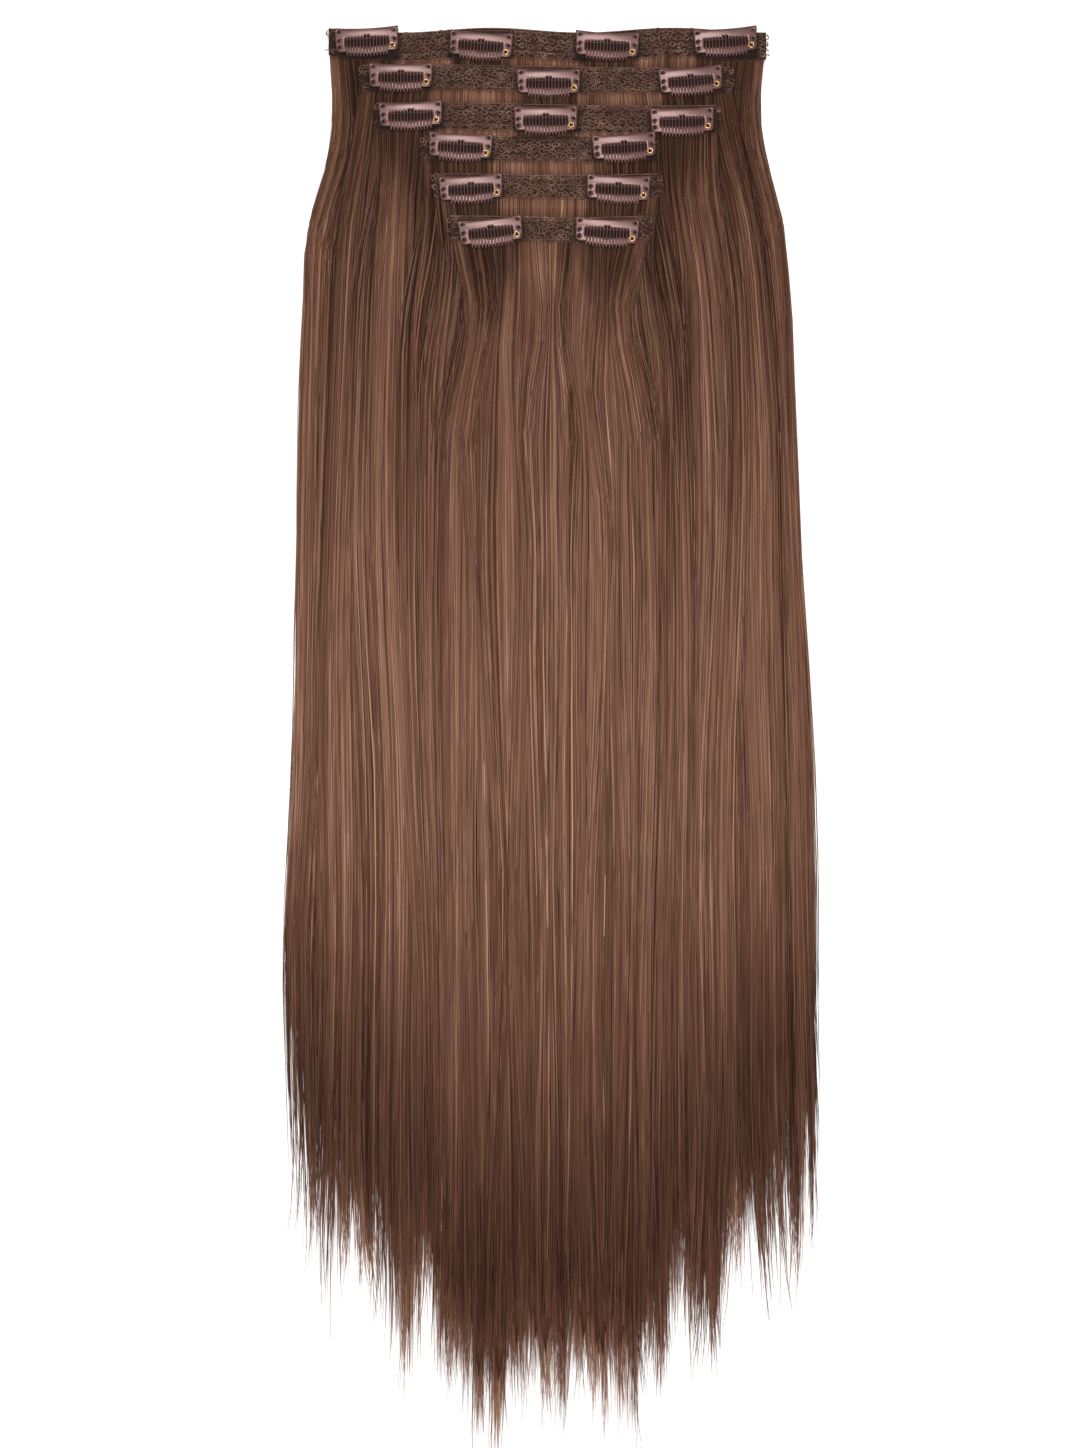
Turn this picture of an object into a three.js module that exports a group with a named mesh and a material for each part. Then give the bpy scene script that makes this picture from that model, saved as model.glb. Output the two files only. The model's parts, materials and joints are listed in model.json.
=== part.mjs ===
// A layered clip-in hairpiece: six wefts of long straight hair lie over each other, clip side up.
// Each weft hangs from a lace band, and snap clips with a toothed bar are sewn to the band.
// Sizes are millimetres. +X runs across the tracks, +Y from the hair's tips to the tracks,
// and +Z away from the surface that the hair lies on.
// The origin is on that surface, under the middle of the whole piece.
import * as THREE from "three";

// Hair: each layer is a ridged slab of fused locks with pointed ends
const HAIR_LENGTH = 610; // from a track to its longest tips
const HAIR_SPREAD = 265.5; // widest layer near its tips
const HAIR_THICKNESS = 2.4; // one layer at half its length
const ROOT_THICKNESS = 1.2; // one layer under its band
const TIP_THICKNESS = 0.4; // the last layer at its longest tips
const ROOT_INSET = 0.8; // from the band's upper edge to the first hair
const THINNING_SHARE = 0.46; // of the hair's length, over which the pile thins
const NOTCH_DEPTH = 58; // from a lock's tip up to the notch beside it
const TIP_VARIATION = 22; // between the longest lock and a short one
const CORNER_RISE = 62; // how much sooner the outer locks end than the middle ones
const GROOVE_SHARE = 0.7; // thickness left in the groove between two locks
const EDGE_SHARE = 0.5; // thickness left at a layer's side

// Tracks and lace bands
const FIRST_TRACK = 219.5; // width of the widest track
const TRACKS_DROP = 95.5; // from the first track to the last
const BAND_HEIGHT = 14;
const BAND_THICKNESS = 1.2;
const SCALLOP_DEPTH = 1.6;
const TRACK_WAVE = 1.2; // rise and fall of a track that doesn't lie straight

// Snap clips: a painted spring plate with a window, and a toothed bar in the window
const CLIP_WIDTH = 32;
const SHEET = 0.6; // thickness of the plate
const TOP_BAND = 5; // plate above the window
const WINDOW_HEIGHT = 5.1; // at the middle
const LOWER_BAR = 3.5; // plate under the window, at the middle
const TOOTH_REACH = 1.5; // teeth past the lower bar
const TOP_SAG = 1; // dip of the upper edge
const WINDOW_BOW = 1.3; // dip of the window's lower edge
const TOOTH_BOW = 0.9; // dip of the toothed edge
const EAR_HEIGHT = 12.2;
const EAR_CORNER = 2.4;
const SIDE_LEAN = 0.6; // each side leans in by this much
const EAR_WIDTH = 5; // from the plate's side to the window
const ARCH_WIDTH = 5;
const ARCH_RISE = 1.2;
const TOOTHED_INSET = 5.7; // from the plate's side to the toothed edge
const TOOTH_COUNT = 13;
const TOOTH_WIDTH = 0.8;
const SPINE_DEPTH = 1;
const SPINE_HEIGHT = 0.8;
const TOOTH_THICKNESS = 0.6;
const SEWING_HOLE = 1.5;
const SEWING_INSET = 2; // from the plate's side to the holes' middle
const EYELET_OUTER = 3;
const EYELET_BORE = 1.1;
const EYELET_HEIGHT = 0.6;
const EYELET_INSET = 3.3;

// Clearance between two pieces
const GAP = 0.3;
const CURVE_STEPS = 3;
const HOLE_SIDES = 6;

// One row for each weft, the lowest layer first
// drop: track's place as a share of TRACKS_DROP; width and middle: shares of FIRST_TRACK
// spread and tipsMiddle: the layer near its tips, as shares of HAIR_SPREAD
// band: height as a share of BAND_HEIGHT; wave: share of TRACK_WAVE; waves: crests along the track
const WEFTS = [
  {drop: 0, width: 1, middle: -0.015, spread: 1, tipsMiddle: -0.003, band: 1, wave: 1,
    waves: 2.4, locks: 9, scallops: 9},
  {drop: 0.194, width: 0.843, middle: -0.018, spread: 0.895, tipsMiddle: 0.007, band: 0.93, wave: 0.7,
    waves: 0.8, locks: 8, scallops: 8},
  {drop: 0.398, width: 0.777, middle: -0.015, spread: 0.669, tipsMiddle: -0.003, band: 1, wave: 0.7,
    waves: 0.8, locks: 7, scallops: 7},
  {drop: 0.571, width: 0.533, middle: -0.032, spread: 0.512, tipsMiddle: 0.004, band: 1, wave: 0.2,
    waves: 1, locks: 6, scallops: 5},
  {drop: 0.775, width: 0.513, middle: -0.017, spread: 0.405, tipsMiddle: -0.003, band: 0.9, wave: 0.4,
    waves: 1, locks: 5, scallops: 5},
  {drop: 1, width: 0.453, middle: -0.01, spread: 0.352, tipsMiddle: -0.01, band: 0.93, wave: 0.4,
    waves: 1, locks: 5, scallops: 4},
];

// One row for each clip
// across: from the track's middle, as a share of the track's width
// down: from the track's line to the clip's upper corners, as a share of BAND_HEIGHT; tilt: degrees
const CLIPS = [
  {weft: 1, across: -0.414, down: -0.098, tilt: 2.7},
  {weft: 1, across: -0.15, down: 0.062, tilt: -3.7},
  {weft: 1, across: 0.138, down: 0.062, tilt: -2.7},
  {weft: 1, across: 0.405, down: -0.081, tilt: 3.7},
  {weft: 2, across: -0.393, down: -0.107, tilt: 0},
  {weft: 2, across: 0.007, down: 0.107, tilt: 0},
  {weft: 2, across: 0.389, down: 0.036, tilt: 4.4},
  {weft: 3, across: -0.402, down: -0.087, tilt: 2.1},
  {weft: 3, across: -0.005, down: 0.085, tilt: 0.5},
  {weft: 3, across: 0.394, down: 0.133, tilt: 1.6},
  {weft: 4, across: -0.336, down: -0.11, tilt: -2.6},
  {weft: 4, across: 0.356, down: -0.09, tilt: 3.7},
  {weft: 5, across: -0.338, down: 0.03, tilt: 3.5},
  {weft: 5, across: 0.32, down: 0.035, tilt: -2.5},
  {weft: 6, across: -0.301, down: 0.055, tilt: 6.1},
  {weft: 6, across: 0.291, down: 0.06, tilt: -3.3},
];

// Sewing holes in the plate's ears, by their place down the ear
const SEWING_HOLES = [
  {side: -1, down: 0.17},
  {side: -1, down: 0.53},
  {side: -1, down: 0.8},
  {side: 1, down: 0.17},
  {side: 1, down: 0.53},
];
const EYELET_DOWN = 0.8;

// Stations along a layer before it thins, as shares of the hair's length
// flare: share of the way from the track's width to the spread; full: share of the full thickness
const STATIONS = [
  {along: 0.1, flare: 0, full: 1},
  {along: 0.25, flare: 0.52, full: 1},
];
const THINNING_FLARE = 0.82;

const hairMaterial = {color: 0x624839, roughness: 0.55, metalness: 0};
const laceMaterial = {color: 0x58423a, roughness: 0.85, metalness: 0};
const paintMaterial = {color: 0x806462, roughness: 0.35, metalness: 0.3};
const brassMaterial = {color: 0xcdaa69, roughness: 0.3, metalness: 0.9};

// Widths inside the plate's two ears
const windowWidth = CLIP_WIDTH - 2 * EAR_WIDTH;
const toothedWidth = CLIP_WIDTH - 2 * TOOTHED_INSET;

// Layers of the pile: they lie at equal distances, which shrink towards the tips
const pileEnd = -(TRACKS_DROP + HAIR_LENGTH);
const thinningLength = THINNING_SHARE * HAIR_LENGTH;
const thinningStart = pileEnd + thinningLength;

function layerPitch(y) {
  const past = Math.max(0, thinningStart - y) / thinningLength;
  return GAP + HAIR_THICKNESS + (TIP_THICKNESS - HAIR_THICKNESS) * past;
}

function trackWidth(weft) {
  return weft.width * FIRST_TRACK;
}

function trackMiddle(weft) {
  return weft.middle * FIRST_TRACK;
}

function trackLine(weft, share) {
  const crest = Math.sin(2 * Math.PI * weft.waves * (share + 0.15));
  return -weft.drop * TRACKS_DROP + weft.wave * TRACK_WAVE * crest;
}

function geometryFromFaces(points, faces) {
  const geometry = new THREE.BufferGeometry();
  geometry.setAttribute("position", new THREE.Float32BufferAttribute(points.flat(), 3));
  geometry.setIndex(faces.flat());
  geometry.computeVertexNormals();
  return geometry;
}

// How far a lock, or the notch beside it, reaches along the hair's length
function lockEnd(weft, column, columns) {
  const share = column / (columns - 1);
  const sideways = Math.abs(2 * share - 1);
  const shorter = TIP_VARIATION * (0.5 + 0.5 * Math.sin(2.4 * column + 9 * weft.width));
  const notch = column % 2 === 0 ? NOTCH_DEPTH : 0;
  return HAIR_LENGTH - shorter - notch - CORNER_RISE * sideways ** 4;
}

function hairGeometry(weft, layer) {
  const columns = 2 * weft.locks + 1;
  const top = -weft.drop * TRACKS_DROP;
  const thinningAlong = (top - thinningStart) / HAIR_LENGTH;
  const bandAlong = BAND_HEIGHT / HAIR_LENGTH;
  const rows = [
    {along: ROOT_INSET / HAIR_LENGTH, flare: 0, full: 0},
    {along: bandAlong, flare: 0, full: 0},
    ...STATIONS,
    {along: thinningAlong, flare: THINNING_FLARE, full: 1},
    {along: null, flare: 1, full: 1},
  ];
  const waveAlong = STATIONS[0].along;
  const upper = [];
  const lower = [];
  for (const row of rows) {
    for (let column = 0; column < columns; column += 1) {
      const share = column / (columns - 1);
      const along = row.along ?? lockEnd(weft, column, columns) / HAIR_LENGTH;
      const wave = (trackLine(weft, share) - top) * Math.max(0, 1 - along / waveAlong);
      const y = top + wave - along * HAIR_LENGTH;
      const width = trackWidth(weft) + (weft.spread * HAIR_SPREAD - trackWidth(weft)) * row.flare;
      const middle = trackMiddle(weft) + (weft.tipsMiddle * HAIR_SPREAD - trackMiddle(weft)) * row.flare;
      const x = middle + (share - 0.5) * width;
      const pitch = layerPitch(y);
      const bottom = layer * pitch;
      const isSide = column === 0 || column === columns - 1;
      const groove = column % 2 === 0 ? GROOVE_SHARE : 1;
      const body = (pitch - GAP) * (isSide ? EDGE_SHARE : groove);
      const thickness = row.full === 0 ? ROOT_THICKNESS : body;
      lower.push([x, y, bottom]);
      upper.push([x, y, bottom + thickness]);
    }
  }
  const count = lower.length;
  const faces = [];
  const addWall = (a, b) => faces.push([a, b + count, b], [a, a + count, b + count]);
  for (let row = 0; row + 1 < rows.length; row += 1) {
    for (let column = 0; column + 1 < columns; column += 1) {
      const a = row * columns + column;
      const b = a + 1;
      const c = b + columns;
      const d = a + columns;
      faces.push([a, b, c], [a, c, d]);
      faces.push([a + count, c + count, b + count], [a + count, d + count, c + count]);
    }
    addWall((row + 1) * columns, row * columns);
    addWall((row + 1) * columns - 1, (row + 2) * columns - 1);
  }
  const lastRow = (rows.length - 1) * columns;
  for (let column = 0; column + 1 < columns; column += 1) {
    addWall(column, column + 1);
    addWall(lastRow + column + 1, lastRow + column);
  }
  return geometryFromFaces([...lower, ...upper], faces);
}

function bandShape(weft) {
  const steps = 2 * weft.scallops;
  const upper = [];
  const lower = [];
  for (let step = 0; step <= steps; step += 1) {
    const share = step / steps;
    const x = trackMiddle(weft) + (share - 0.5) * trackWidth(weft);
    const line = trackLine(weft, share);
    const scallop = step % 2 === 1 ? SCALLOP_DEPTH : 0;
    lower.push(new THREE.Vector2(x, line - weft.band * BAND_HEIGHT + SCALLOP_DEPTH - scallop));
    if (step % 2 === 0) {
      upper.unshift(new THREE.Vector2(x, line));
    }
  }
  return new THREE.Shape([...lower, ...upper]);
}

function windowPath() {
  const half = windowWidth / 2;
  const bottom = TOP_BAND + WINDOW_HEIGHT;
  const path = new THREE.Path();
  path.moveTo(-half, -TOP_BAND);
  path.lineTo(-half, -(bottom - WINDOW_BOW));
  path.quadraticCurveTo(0, -(bottom + WINDOW_BOW), half, -(bottom - WINDOW_BOW));
  path.lineTo(half, -TOP_BAND);
  path.lineTo(ARCH_WIDTH / 2, -TOP_BAND);
  path.quadraticCurveTo(0, -TOP_BAND + 2 * ARCH_RISE, -ARCH_WIDTH / 2, -TOP_BAND);
  path.closePath();
  return path;
}

function holePath(x, y, diameter) {
  const corners = [];
  for (let corner = 0; corner < HOLE_SIDES; corner += 1) {
    const turn = 2 * Math.PI * corner / HOLE_SIDES;
    corners.push(new THREE.Vector2(x + diameter / 2 * Math.cos(turn), y + diameter / 2 * Math.sin(turn)));
  }
  return new THREE.Path(corners);
}

function plateShape() {
  const half = CLIP_WIDTH / 2;
  const side = half - SIDE_LEAN;
  const toothed = toothedWidth / 2;
  const edge = TOP_BAND + WINDOW_HEIGHT + LOWER_BAR;
  const shape = new THREE.Shape();
  shape.moveTo(-half, 0);
  shape.quadraticCurveTo(0, -2 * TOP_SAG, half, 0);
  shape.lineTo(side, -(EAR_HEIGHT - EAR_CORNER));
  shape.quadraticCurveTo(side, -EAR_HEIGHT, side - EAR_CORNER, -EAR_HEIGHT);
  shape.lineTo(toothed, -EAR_HEIGHT);
  shape.lineTo(toothed, -(edge - TOOTH_BOW));
  shape.quadraticCurveTo(0, -(edge + TOOTH_BOW), -toothed, -(edge - TOOTH_BOW));
  shape.lineTo(-toothed, -EAR_HEIGHT);
  shape.lineTo(-(side - EAR_CORNER), -EAR_HEIGHT);
  shape.quadraticCurveTo(-side, -EAR_HEIGHT, -side, -(EAR_HEIGHT - EAR_CORNER));
  shape.closePath();
  shape.holes.push(windowPath());
  for (const hole of SEWING_HOLES) {
    shape.holes.push(holePath(hole.side * (half - SEWING_INSET), -hole.down * EAR_HEIGHT, SEWING_HOLE));
  }
  shape.holes.push(holePath(half - EYELET_INSET, -EYELET_DOWN * EAR_HEIGHT, EYELET_BORE));
  return shape;
}

function sheetGeometry(shape, thickness) {
  return new THREE.ExtrudeGeometry(shape, {
    depth: thickness,
    bevelEnabled: false,
    curveSegments: CURVE_STEPS,
  });
}

// The toothed bar turns on its spine, which lies along the window's upper edge
const hingeDrop = TOP_BAND + GAP + Math.hypot(SPINE_DEPTH, SPINE_HEIGHT) / 2;

function combGeometry() {
  const spineHalf = windowWidth / 2 - GAP;
  const back = -hingeDrop + SPINE_DEPTH / 2;
  const front = -hingeDrop - SPINE_DEPTH / 2;
  const spineBottom = SHEET - SPINE_HEIGHT / 2;
  const spineTop = SHEET + SPINE_HEIGHT / 2;
  const overBar = SHEET + GAP;
  const pitch = (toothedWidth - TOOTH_WIDTH) / (TOOTH_COUNT - 1);
  const reach = TOP_BAND + WINDOW_HEIGHT + LOWER_BAR + TOOTH_REACH;
  const points = [];
  const faces = [];
  const addPoint = (x, y, z) => points.push([x, y, z]) - 1;
  const addQuad = (a, b, c, d) => faces.push([a, b, c], [a, c, d]);
  // A station across the bar's front: its lower and upper point
  const addStation = (x, y, low, high) => ({low: addPoint(x, y, low), high: addPoint(x, y, high)});
  const backLeft = addStation(-spineHalf, back, spineBottom, spineTop);
  const backRight = addStation(spineHalf, back, spineBottom, spineTop);
  const frontLine = [addStation(-spineHalf, front, spineBottom, spineTop)];
  for (let tooth = 0; tooth < TOOTH_COUNT; tooth += 1) {
    const left = -toothedWidth / 2 + tooth * pitch;
    const middle = (2 * left + TOOTH_WIDTH) / toothedWidth;
    const bowedUp = middle * middle;
    const windowBow = WINDOW_BOW * bowedUp * (toothedWidth / windowWidth) ** 2;
    const bend = -(TOP_BAND + WINDOW_HEIGHT) + windowBow + GAP;
    const tip = -(reach - TOOTH_BOW * bowedUp);
    const sides = [];
    for (const x of [left, left + TOOTH_WIDTH]) {
      const root = addStation(x, front, spineBottom, spineTop);
      const knee = addStation(x, bend, overBar, overBar + TOOTH_THICKNESS);
      const end = addPoint(x, tip, overBar);
      sides.push({root, knee, end});
      frontLine.push(root);
    }
    const [a, b] = sides;
    addQuad(a.root.high, a.knee.high, b.knee.high, b.root.high);
    addQuad(a.root.low, b.root.low, b.knee.low, a.knee.low);
    addQuad(a.root.high, a.root.low, a.knee.low, a.knee.high);
    addQuad(b.root.low, b.root.high, b.knee.high, b.knee.low);
    addQuad(a.knee.high, a.end, b.end, b.knee.high);
    addQuad(a.knee.low, b.knee.low, b.end, a.end);
    faces.push([a.knee.high, a.knee.low, a.end]);
    faces.push([b.knee.low, b.knee.high, b.end]);
  }
  frontLine.push(addStation(spineHalf, front, spineBottom, spineTop));
  // The spine's front shows between the teeth, and its top and underside fan out from its back
  for (let index = 0; index + 1 < frontLine.length; index += 1) {
    const a = frontLine[index];
    const b = frontLine[index + 1];
    if (index % 2 === 0) {
      addQuad(a.low, b.low, b.high, a.high);
    }
    faces.push([backLeft.high, a.high, b.high]);
    faces.push([backLeft.low, b.low, a.low]);
  }
  const last = frontLine[frontLine.length - 1];
  faces.push([backLeft.high, last.high, backRight.high]);
  faces.push([backLeft.low, backRight.low, last.low]);
  addQuad(backLeft.high, backRight.high, backRight.low, backLeft.low);
  addQuad(frontLine[0].high, backLeft.high, backLeft.low, frontLine[0].low);
  addQuad(last.low, backRight.low, backRight.high, last.high);
  return geometryFromFaces(points, faces);
}

// A rolled brass ring on the plate's right ear
function eyeletGeometry() {
  const inner = EYELET_BORE / 2;
  const outer = EYELET_OUTER / 2;
  const sides = 8;
  const profile = [
    new THREE.Vector2(inner, 0),
    new THREE.Vector2(outer, 0),
    new THREE.Vector2((inner + outer) / 2, EYELET_HEIGHT),
    new THREE.Vector2(inner, 0),
  ];
  const geometry = new THREE.LatheGeometry(profile, sides);
  geometry.rotateX(Math.PI / 2);
  geometry.translate(CLIP_WIDTH / 2 - EYELET_INSET, -EYELET_DOWN * EAR_HEIGHT, SHEET + GAP);
  return geometry;
}

function namedMesh(name, geometry, look) {
  const mesh = new THREE.Mesh(geometry, new THREE.MeshStandardMaterial(look));
  mesh.name = name;
  return mesh;
}

const hairpiece = new THREE.Group();
const rootBottom = WEFTS.map((weft, layer) => layer * layerPitch(0));
const bandBottom = rootBottom.map((height) => height + ROOT_THICKNESS + GAP);

WEFTS.forEach((weft, layer) => {
  const name = `weft${layer + 1}`;
  hairpiece.add(namedMesh(`${name}_hair`, hairGeometry(weft, layer), hairMaterial));
  const band = namedMesh(`${name}_band`, sheetGeometry(bandShape(weft), BAND_THICKNESS), laceMaterial);
  band.position.z = bandBottom[layer];
  hairpiece.add(band);
});

const clipCounts = WEFTS.map(() => 0);
for (const clip of CLIPS) {
  const layer = clip.weft - 1;
  const weft = WEFTS[layer];
  clipCounts[layer] += 1;
  const name = `weft${clip.weft}_clip${clipCounts[layer]}`;
  const group = new THREE.Group();
  group.position.set(
    trackMiddle(weft) + clip.across * trackWidth(weft),
    -weft.drop * TRACKS_DROP - clip.down * BAND_HEIGHT,
    bandBottom[layer] + BAND_THICKNESS + GAP,
  );
  group.rotation.z = THREE.MathUtils.degToRad(clip.tilt);
  group.add(namedMesh(`${name}_frame`, sheetGeometry(plateShape(), SHEET), paintMaterial));
  group.add(namedMesh(`${name}_comb`, combGeometry(), paintMaterial));
  group.add(namedMesh(`${name}_eyelet`, eyeletGeometry(), brassMaterial));
  hairpiece.add(group);
}

// The middle of the piece comes over the origin
const bounds = new THREE.Box3().setFromObject(hairpiece);
const middle = bounds.getCenter(new THREE.Vector3());
hairpiece.position.set(-middle.x, -middle.y, -bounds.min.z);

export default hairpiece;
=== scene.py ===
# Looks of the layered clip-in hairpiece: hair strands, lace bands, stitches, painted clips and brass eyelets.
# Sizes are metres unless a name says otherwise. A strand's place is given by two numbers:
# its share across the layer, and the distance along the hair from the track.
import json
import math
import bpy
import numpy as np
from mathutils import Matrix, Vector
from mathutils.geometry import delaunay_2d_cdt


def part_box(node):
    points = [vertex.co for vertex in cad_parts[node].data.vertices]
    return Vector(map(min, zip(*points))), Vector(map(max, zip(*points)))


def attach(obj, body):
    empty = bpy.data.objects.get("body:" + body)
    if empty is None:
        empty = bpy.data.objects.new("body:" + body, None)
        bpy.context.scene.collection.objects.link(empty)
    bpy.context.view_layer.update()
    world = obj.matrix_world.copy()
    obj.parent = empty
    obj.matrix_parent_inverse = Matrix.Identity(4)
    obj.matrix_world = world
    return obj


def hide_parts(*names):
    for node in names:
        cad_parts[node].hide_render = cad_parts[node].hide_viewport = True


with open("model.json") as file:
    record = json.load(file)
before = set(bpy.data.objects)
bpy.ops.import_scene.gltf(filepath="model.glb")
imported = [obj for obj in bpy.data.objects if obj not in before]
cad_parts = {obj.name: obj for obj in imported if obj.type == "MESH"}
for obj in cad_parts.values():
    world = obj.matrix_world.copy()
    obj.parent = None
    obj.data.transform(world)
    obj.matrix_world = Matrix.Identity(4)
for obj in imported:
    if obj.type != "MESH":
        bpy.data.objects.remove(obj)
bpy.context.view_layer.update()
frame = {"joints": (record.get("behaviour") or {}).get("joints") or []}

MM = 0.001
SEED = 20

# The photo's camera: straight down on the hairpiece, through a long lens
IMAGE_WIDTH_PX = 1086
IMAGE_HEIGHT_PX = 1448
MM_PER_PX = 0.5
TRACK_TOP_PX = 25.3  # the highest band edge in the image
BOX_MIDDLE_PX = 552.4  # the box's middle, across the image
LENS_MM = 85
SENSOR_MM = 36

# Hair, as in the solids
HAIR_LENGTH = 610 * MM
ROOT_INSET = 0.8 * MM
ROOT_THICKNESS = 1.2 * MM
HAIR_THICKNESS = 2.4 * MM
TIP_THICKNESS = 0.4 * MM
GAP = 0.3 * MM
THINNING_LENGTH = 0.46 * HAIR_LENGTH
TRACK_WAVE = 1.2 * MM
GROOVE_SHARE = 0.7
EDGE_SHARE = 0.5

# Strands
STRANDS_PER_MM = 24  # where the layer shows
HIDDEN_PER_MM = 12  # where a higher layer covers it
# Where a strand's points lie, as shares of its length: closest near the track and the tips
STRAND_PLACES = [0, 0.02, 0.045, 0.075, 0.11, 0.15, 0.195, 0.245, 0.3, 0.37, 0.45, 0.55, 0.66, 0.77,
                 0.86, 0.925, 0.968, 1]
SHORT_PLACES = np.linspace(0, 1, 7)
TIPS_PLACES = np.linspace(0, 1, 10)
STRAND_WIDTH = (0.24 * MM, 0.56 * MM)
SCALLOP_PITCH = 5.2 * MM
SCROLL_PITCH = 4.2 * MM
WISP_PITCH = 9 * MM
WISP_GATHER_LENGTH = 140 * MM
TUFT_PITCH = 2.3 * MM
TUFT_SCATTER = 26 * MM
TUFT_GATHER_LENGTH = 80 * MM
TIP_SCATTER = 72 * MM
TIP_THINNING = 1.9  # power by which the strands get fewer towards the tips
TIP_BEND = 2.2 * MM
TIP_DROOP = 90 * MM
SIDE_LOOSENESS = 3 * MM
LOCK_PARTING = 0.07
LOCK_NOTCH = 16 * MM
FOLD_DEPTH = 60 * MM  # where the folds near the track are strongest
SIDE_SCATTER = 1.6  # added to the scatter at a layer's sides, as a share of it
WISP_SCATTER = 28 * MM
PAINTED_SHEEN = 0.1  # painted sheen: lighter hair in its middle stretch, where the highlight falls
# where the painted sheen is centred
SHEEN_PLACE = 0
TIP_PAINTED_LIGHT = 0.5  # painted light on the thin ends, standing in for light through thin hair
SIDE_PAINTED_SHADE = 0.3  # painted shade on a higher layer's sides near its track
PARTING_SHADE_X = 7 * MM  # where the painted shade of a parting lies in the highest layer
PARTING_SHADE_WIDTH = 3 * MM
PARTING_SHADE_LENGTH = 66 * MM
# how far the painted sheen reaches
SHEEN_REACH = 130 * MM
LIGHT_STRANDS = 0.06
DARK_STRANDS = 0.12
CLIP_PINCH = 0.3
PINCH_DEPTH = 48 * MM  # where the hair below a clip is drawn together most
BULGE_DEPTH = 100 * MM  # where a layer's sides stand out most
SHORT_LENGTH = 46 * MM
TIPS_LENGTH = 0.36 * HAIR_LENGTH

# One row for each weft, the lowest first
# locks, wave and waves are those of the solids; strays: loose strands at its sides
# waist: how far a layer's sides are drawn in below its clips, bulge: how far they stand out lower down
# rise: how much shorter the hair is at the layer's sides, longer: how much longer it is in the middle
WEFTS = [
    {"locks": 9, "wave": 1.0, "waves": 2.4, "strays": 40,
     "waist": 0.0, "bulge": 0.0, "rise": 10 * MM, "longer": 30 * MM},
    {"locks": 8, "wave": 0.7, "waves": 0.8, "strays": 16,
     "waist": 0.0, "bulge": 5 * MM, "rise": 10 * MM, "longer": 34 * MM},
    {"locks": 7, "wave": 0.7, "waves": 0.8, "strays": 10,
     "waist": 1 * MM, "bulge": 8 * MM, "rise": 0.0, "longer": 40 * MM},
    {"locks": 6, "wave": 0.2, "waves": 1.0, "strays": 10,
     "waist": 2 * MM, "bulge": 7 * MM, "rise": 4 * MM, "longer": 38 * MM},
    {"locks": 5, "wave": 0.4, "waves": 1.0, "strays": 10,
     "waist": 4 * MM, "bulge": 5 * MM, "rise": 6 * MM, "longer": 24 * MM},
    {"locks": 5, "wave": 0.4, "waves": 1.0, "strays": 12,
     "waist": 7 * MM, "bulge": 3 * MM, "rise": 14 * MM, "longer": 10 * MM},
]

# Where the hair's lower edge hangs lower or has a gap, by the place across the hairpiece
TIP_CHANGES = [
    {"x": -128 * MM, "longer": 10 * MM, "width": 8 * MM},
    {"x": -59 * MM, "longer": -18 * MM, "width": 6 * MM},
    {"x": -36 * MM, "longer": 9 * MM, "width": 10 * MM},
    {"x": 5 * MM, "longer": -14 * MM, "width": 7 * MM},
    {"x": 44 * MM, "longer": 14 * MM, "width": 14 * MM},
    {"x": 62 * MM, "longer": -22 * MM, "width": 5 * MM},
    {"x": 81 * MM, "longer": 26 * MM, "width": 8 * MM},
    {"x": 131 * MM, "longer": 30 * MM, "width": 8 * MM},
]

# How the first layer's two sides widen from its track to its spread, by the share of the hair's length
FIRST_FLARE = [
    {"along": 0.0, "left": 0.0, "right": 0.0},
    {"along": 0.06, "left": -0.05, "right": -0.1},
    {"along": 0.1, "left": 0.02, "right": -0.04},
    {"along": 0.125, "left": 0.22, "right": 0.1},
    {"along": 0.158, "left": 0.5, "right": 0.28},
    {"along": 0.183, "left": 0.57, "right": 0.35},
    {"along": 0.224, "left": 0.57, "right": 0.47},
    {"along": 0.355, "left": 0.69, "right": 0.67},
    {"along": 0.486, "left": 0.84, "right": 0.79},
    {"along": 0.617, "left": 0.88, "right": 0.87},
    {"along": 0.748, "left": 1.02, "right": 0.99},
    {"along": 0.85, "left": 1.03, "right": 1.06},
    {"along": 1.0, "left": 1.0, "right": 1.07},
]
OTHER_FLARE = [
    {"along": 0.0, "left": 0.0, "right": 0.0},
    {"along": 0.1, "left": 0.25, "right": 0.25},
    {"along": 0.3, "left": 0.6, "right": 0.6},
    {"along": 0.6, "left": 0.85, "right": 0.85},
    {"along": 1.0, "left": 1.0, "right": 1.0},
]

# Snap clips, as in the solids, in millimetres
CLIP_WIDTH = 32
SHEET = 0.6
TOP_BAND = 5
WINDOW_HEIGHT = 5.1
LOWER_BAR = 3.5
TOOTH_REACH = 1.5
TOP_SAG = 1
WINDOW_BOW = 1.3
TOOTH_BOW = 0.9
EAR_HEIGHT = 12.2
EAR_CORNER = 2.4
SIDE_LEAN = 0.6
WINDOW_WIDTH = 22
ARCH_WIDTH = 5
ARCH_RISE = 1.2
TOOTHED_WIDTH = 20.6
TOOTH_COUNT = 13
WINDOW_TOP = -5.1  # height of the slots' round tops near the middle
SLOT_DROP = 0.2
SPIKE_DROP = 0.9
SPIKE_WIDTH = 0.56
SPINE_DEPTH = 1
SPINE_HEIGHT = 0.8
SEWING_HOLE = 1.5
SEWING_INSET = 2
EYELET_OUTER = 3
EYELET_BORE = 1.1
EYELET_HEIGHT = 0.6
EYELET_INSET = 3.3
EYELET_DOWN = 0.8
CLEARANCE = 0.3
SEWING_HOLES = [(-1, 0.17), (-1, 0.53), (-1, 0.8), (1, 0.17), (1, 0.53)]
HINGE_DROP = TOP_BAND + CLEARANCE + math.hypot(SPINE_DEPTH, SPINE_HEIGHT) / 2
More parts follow.
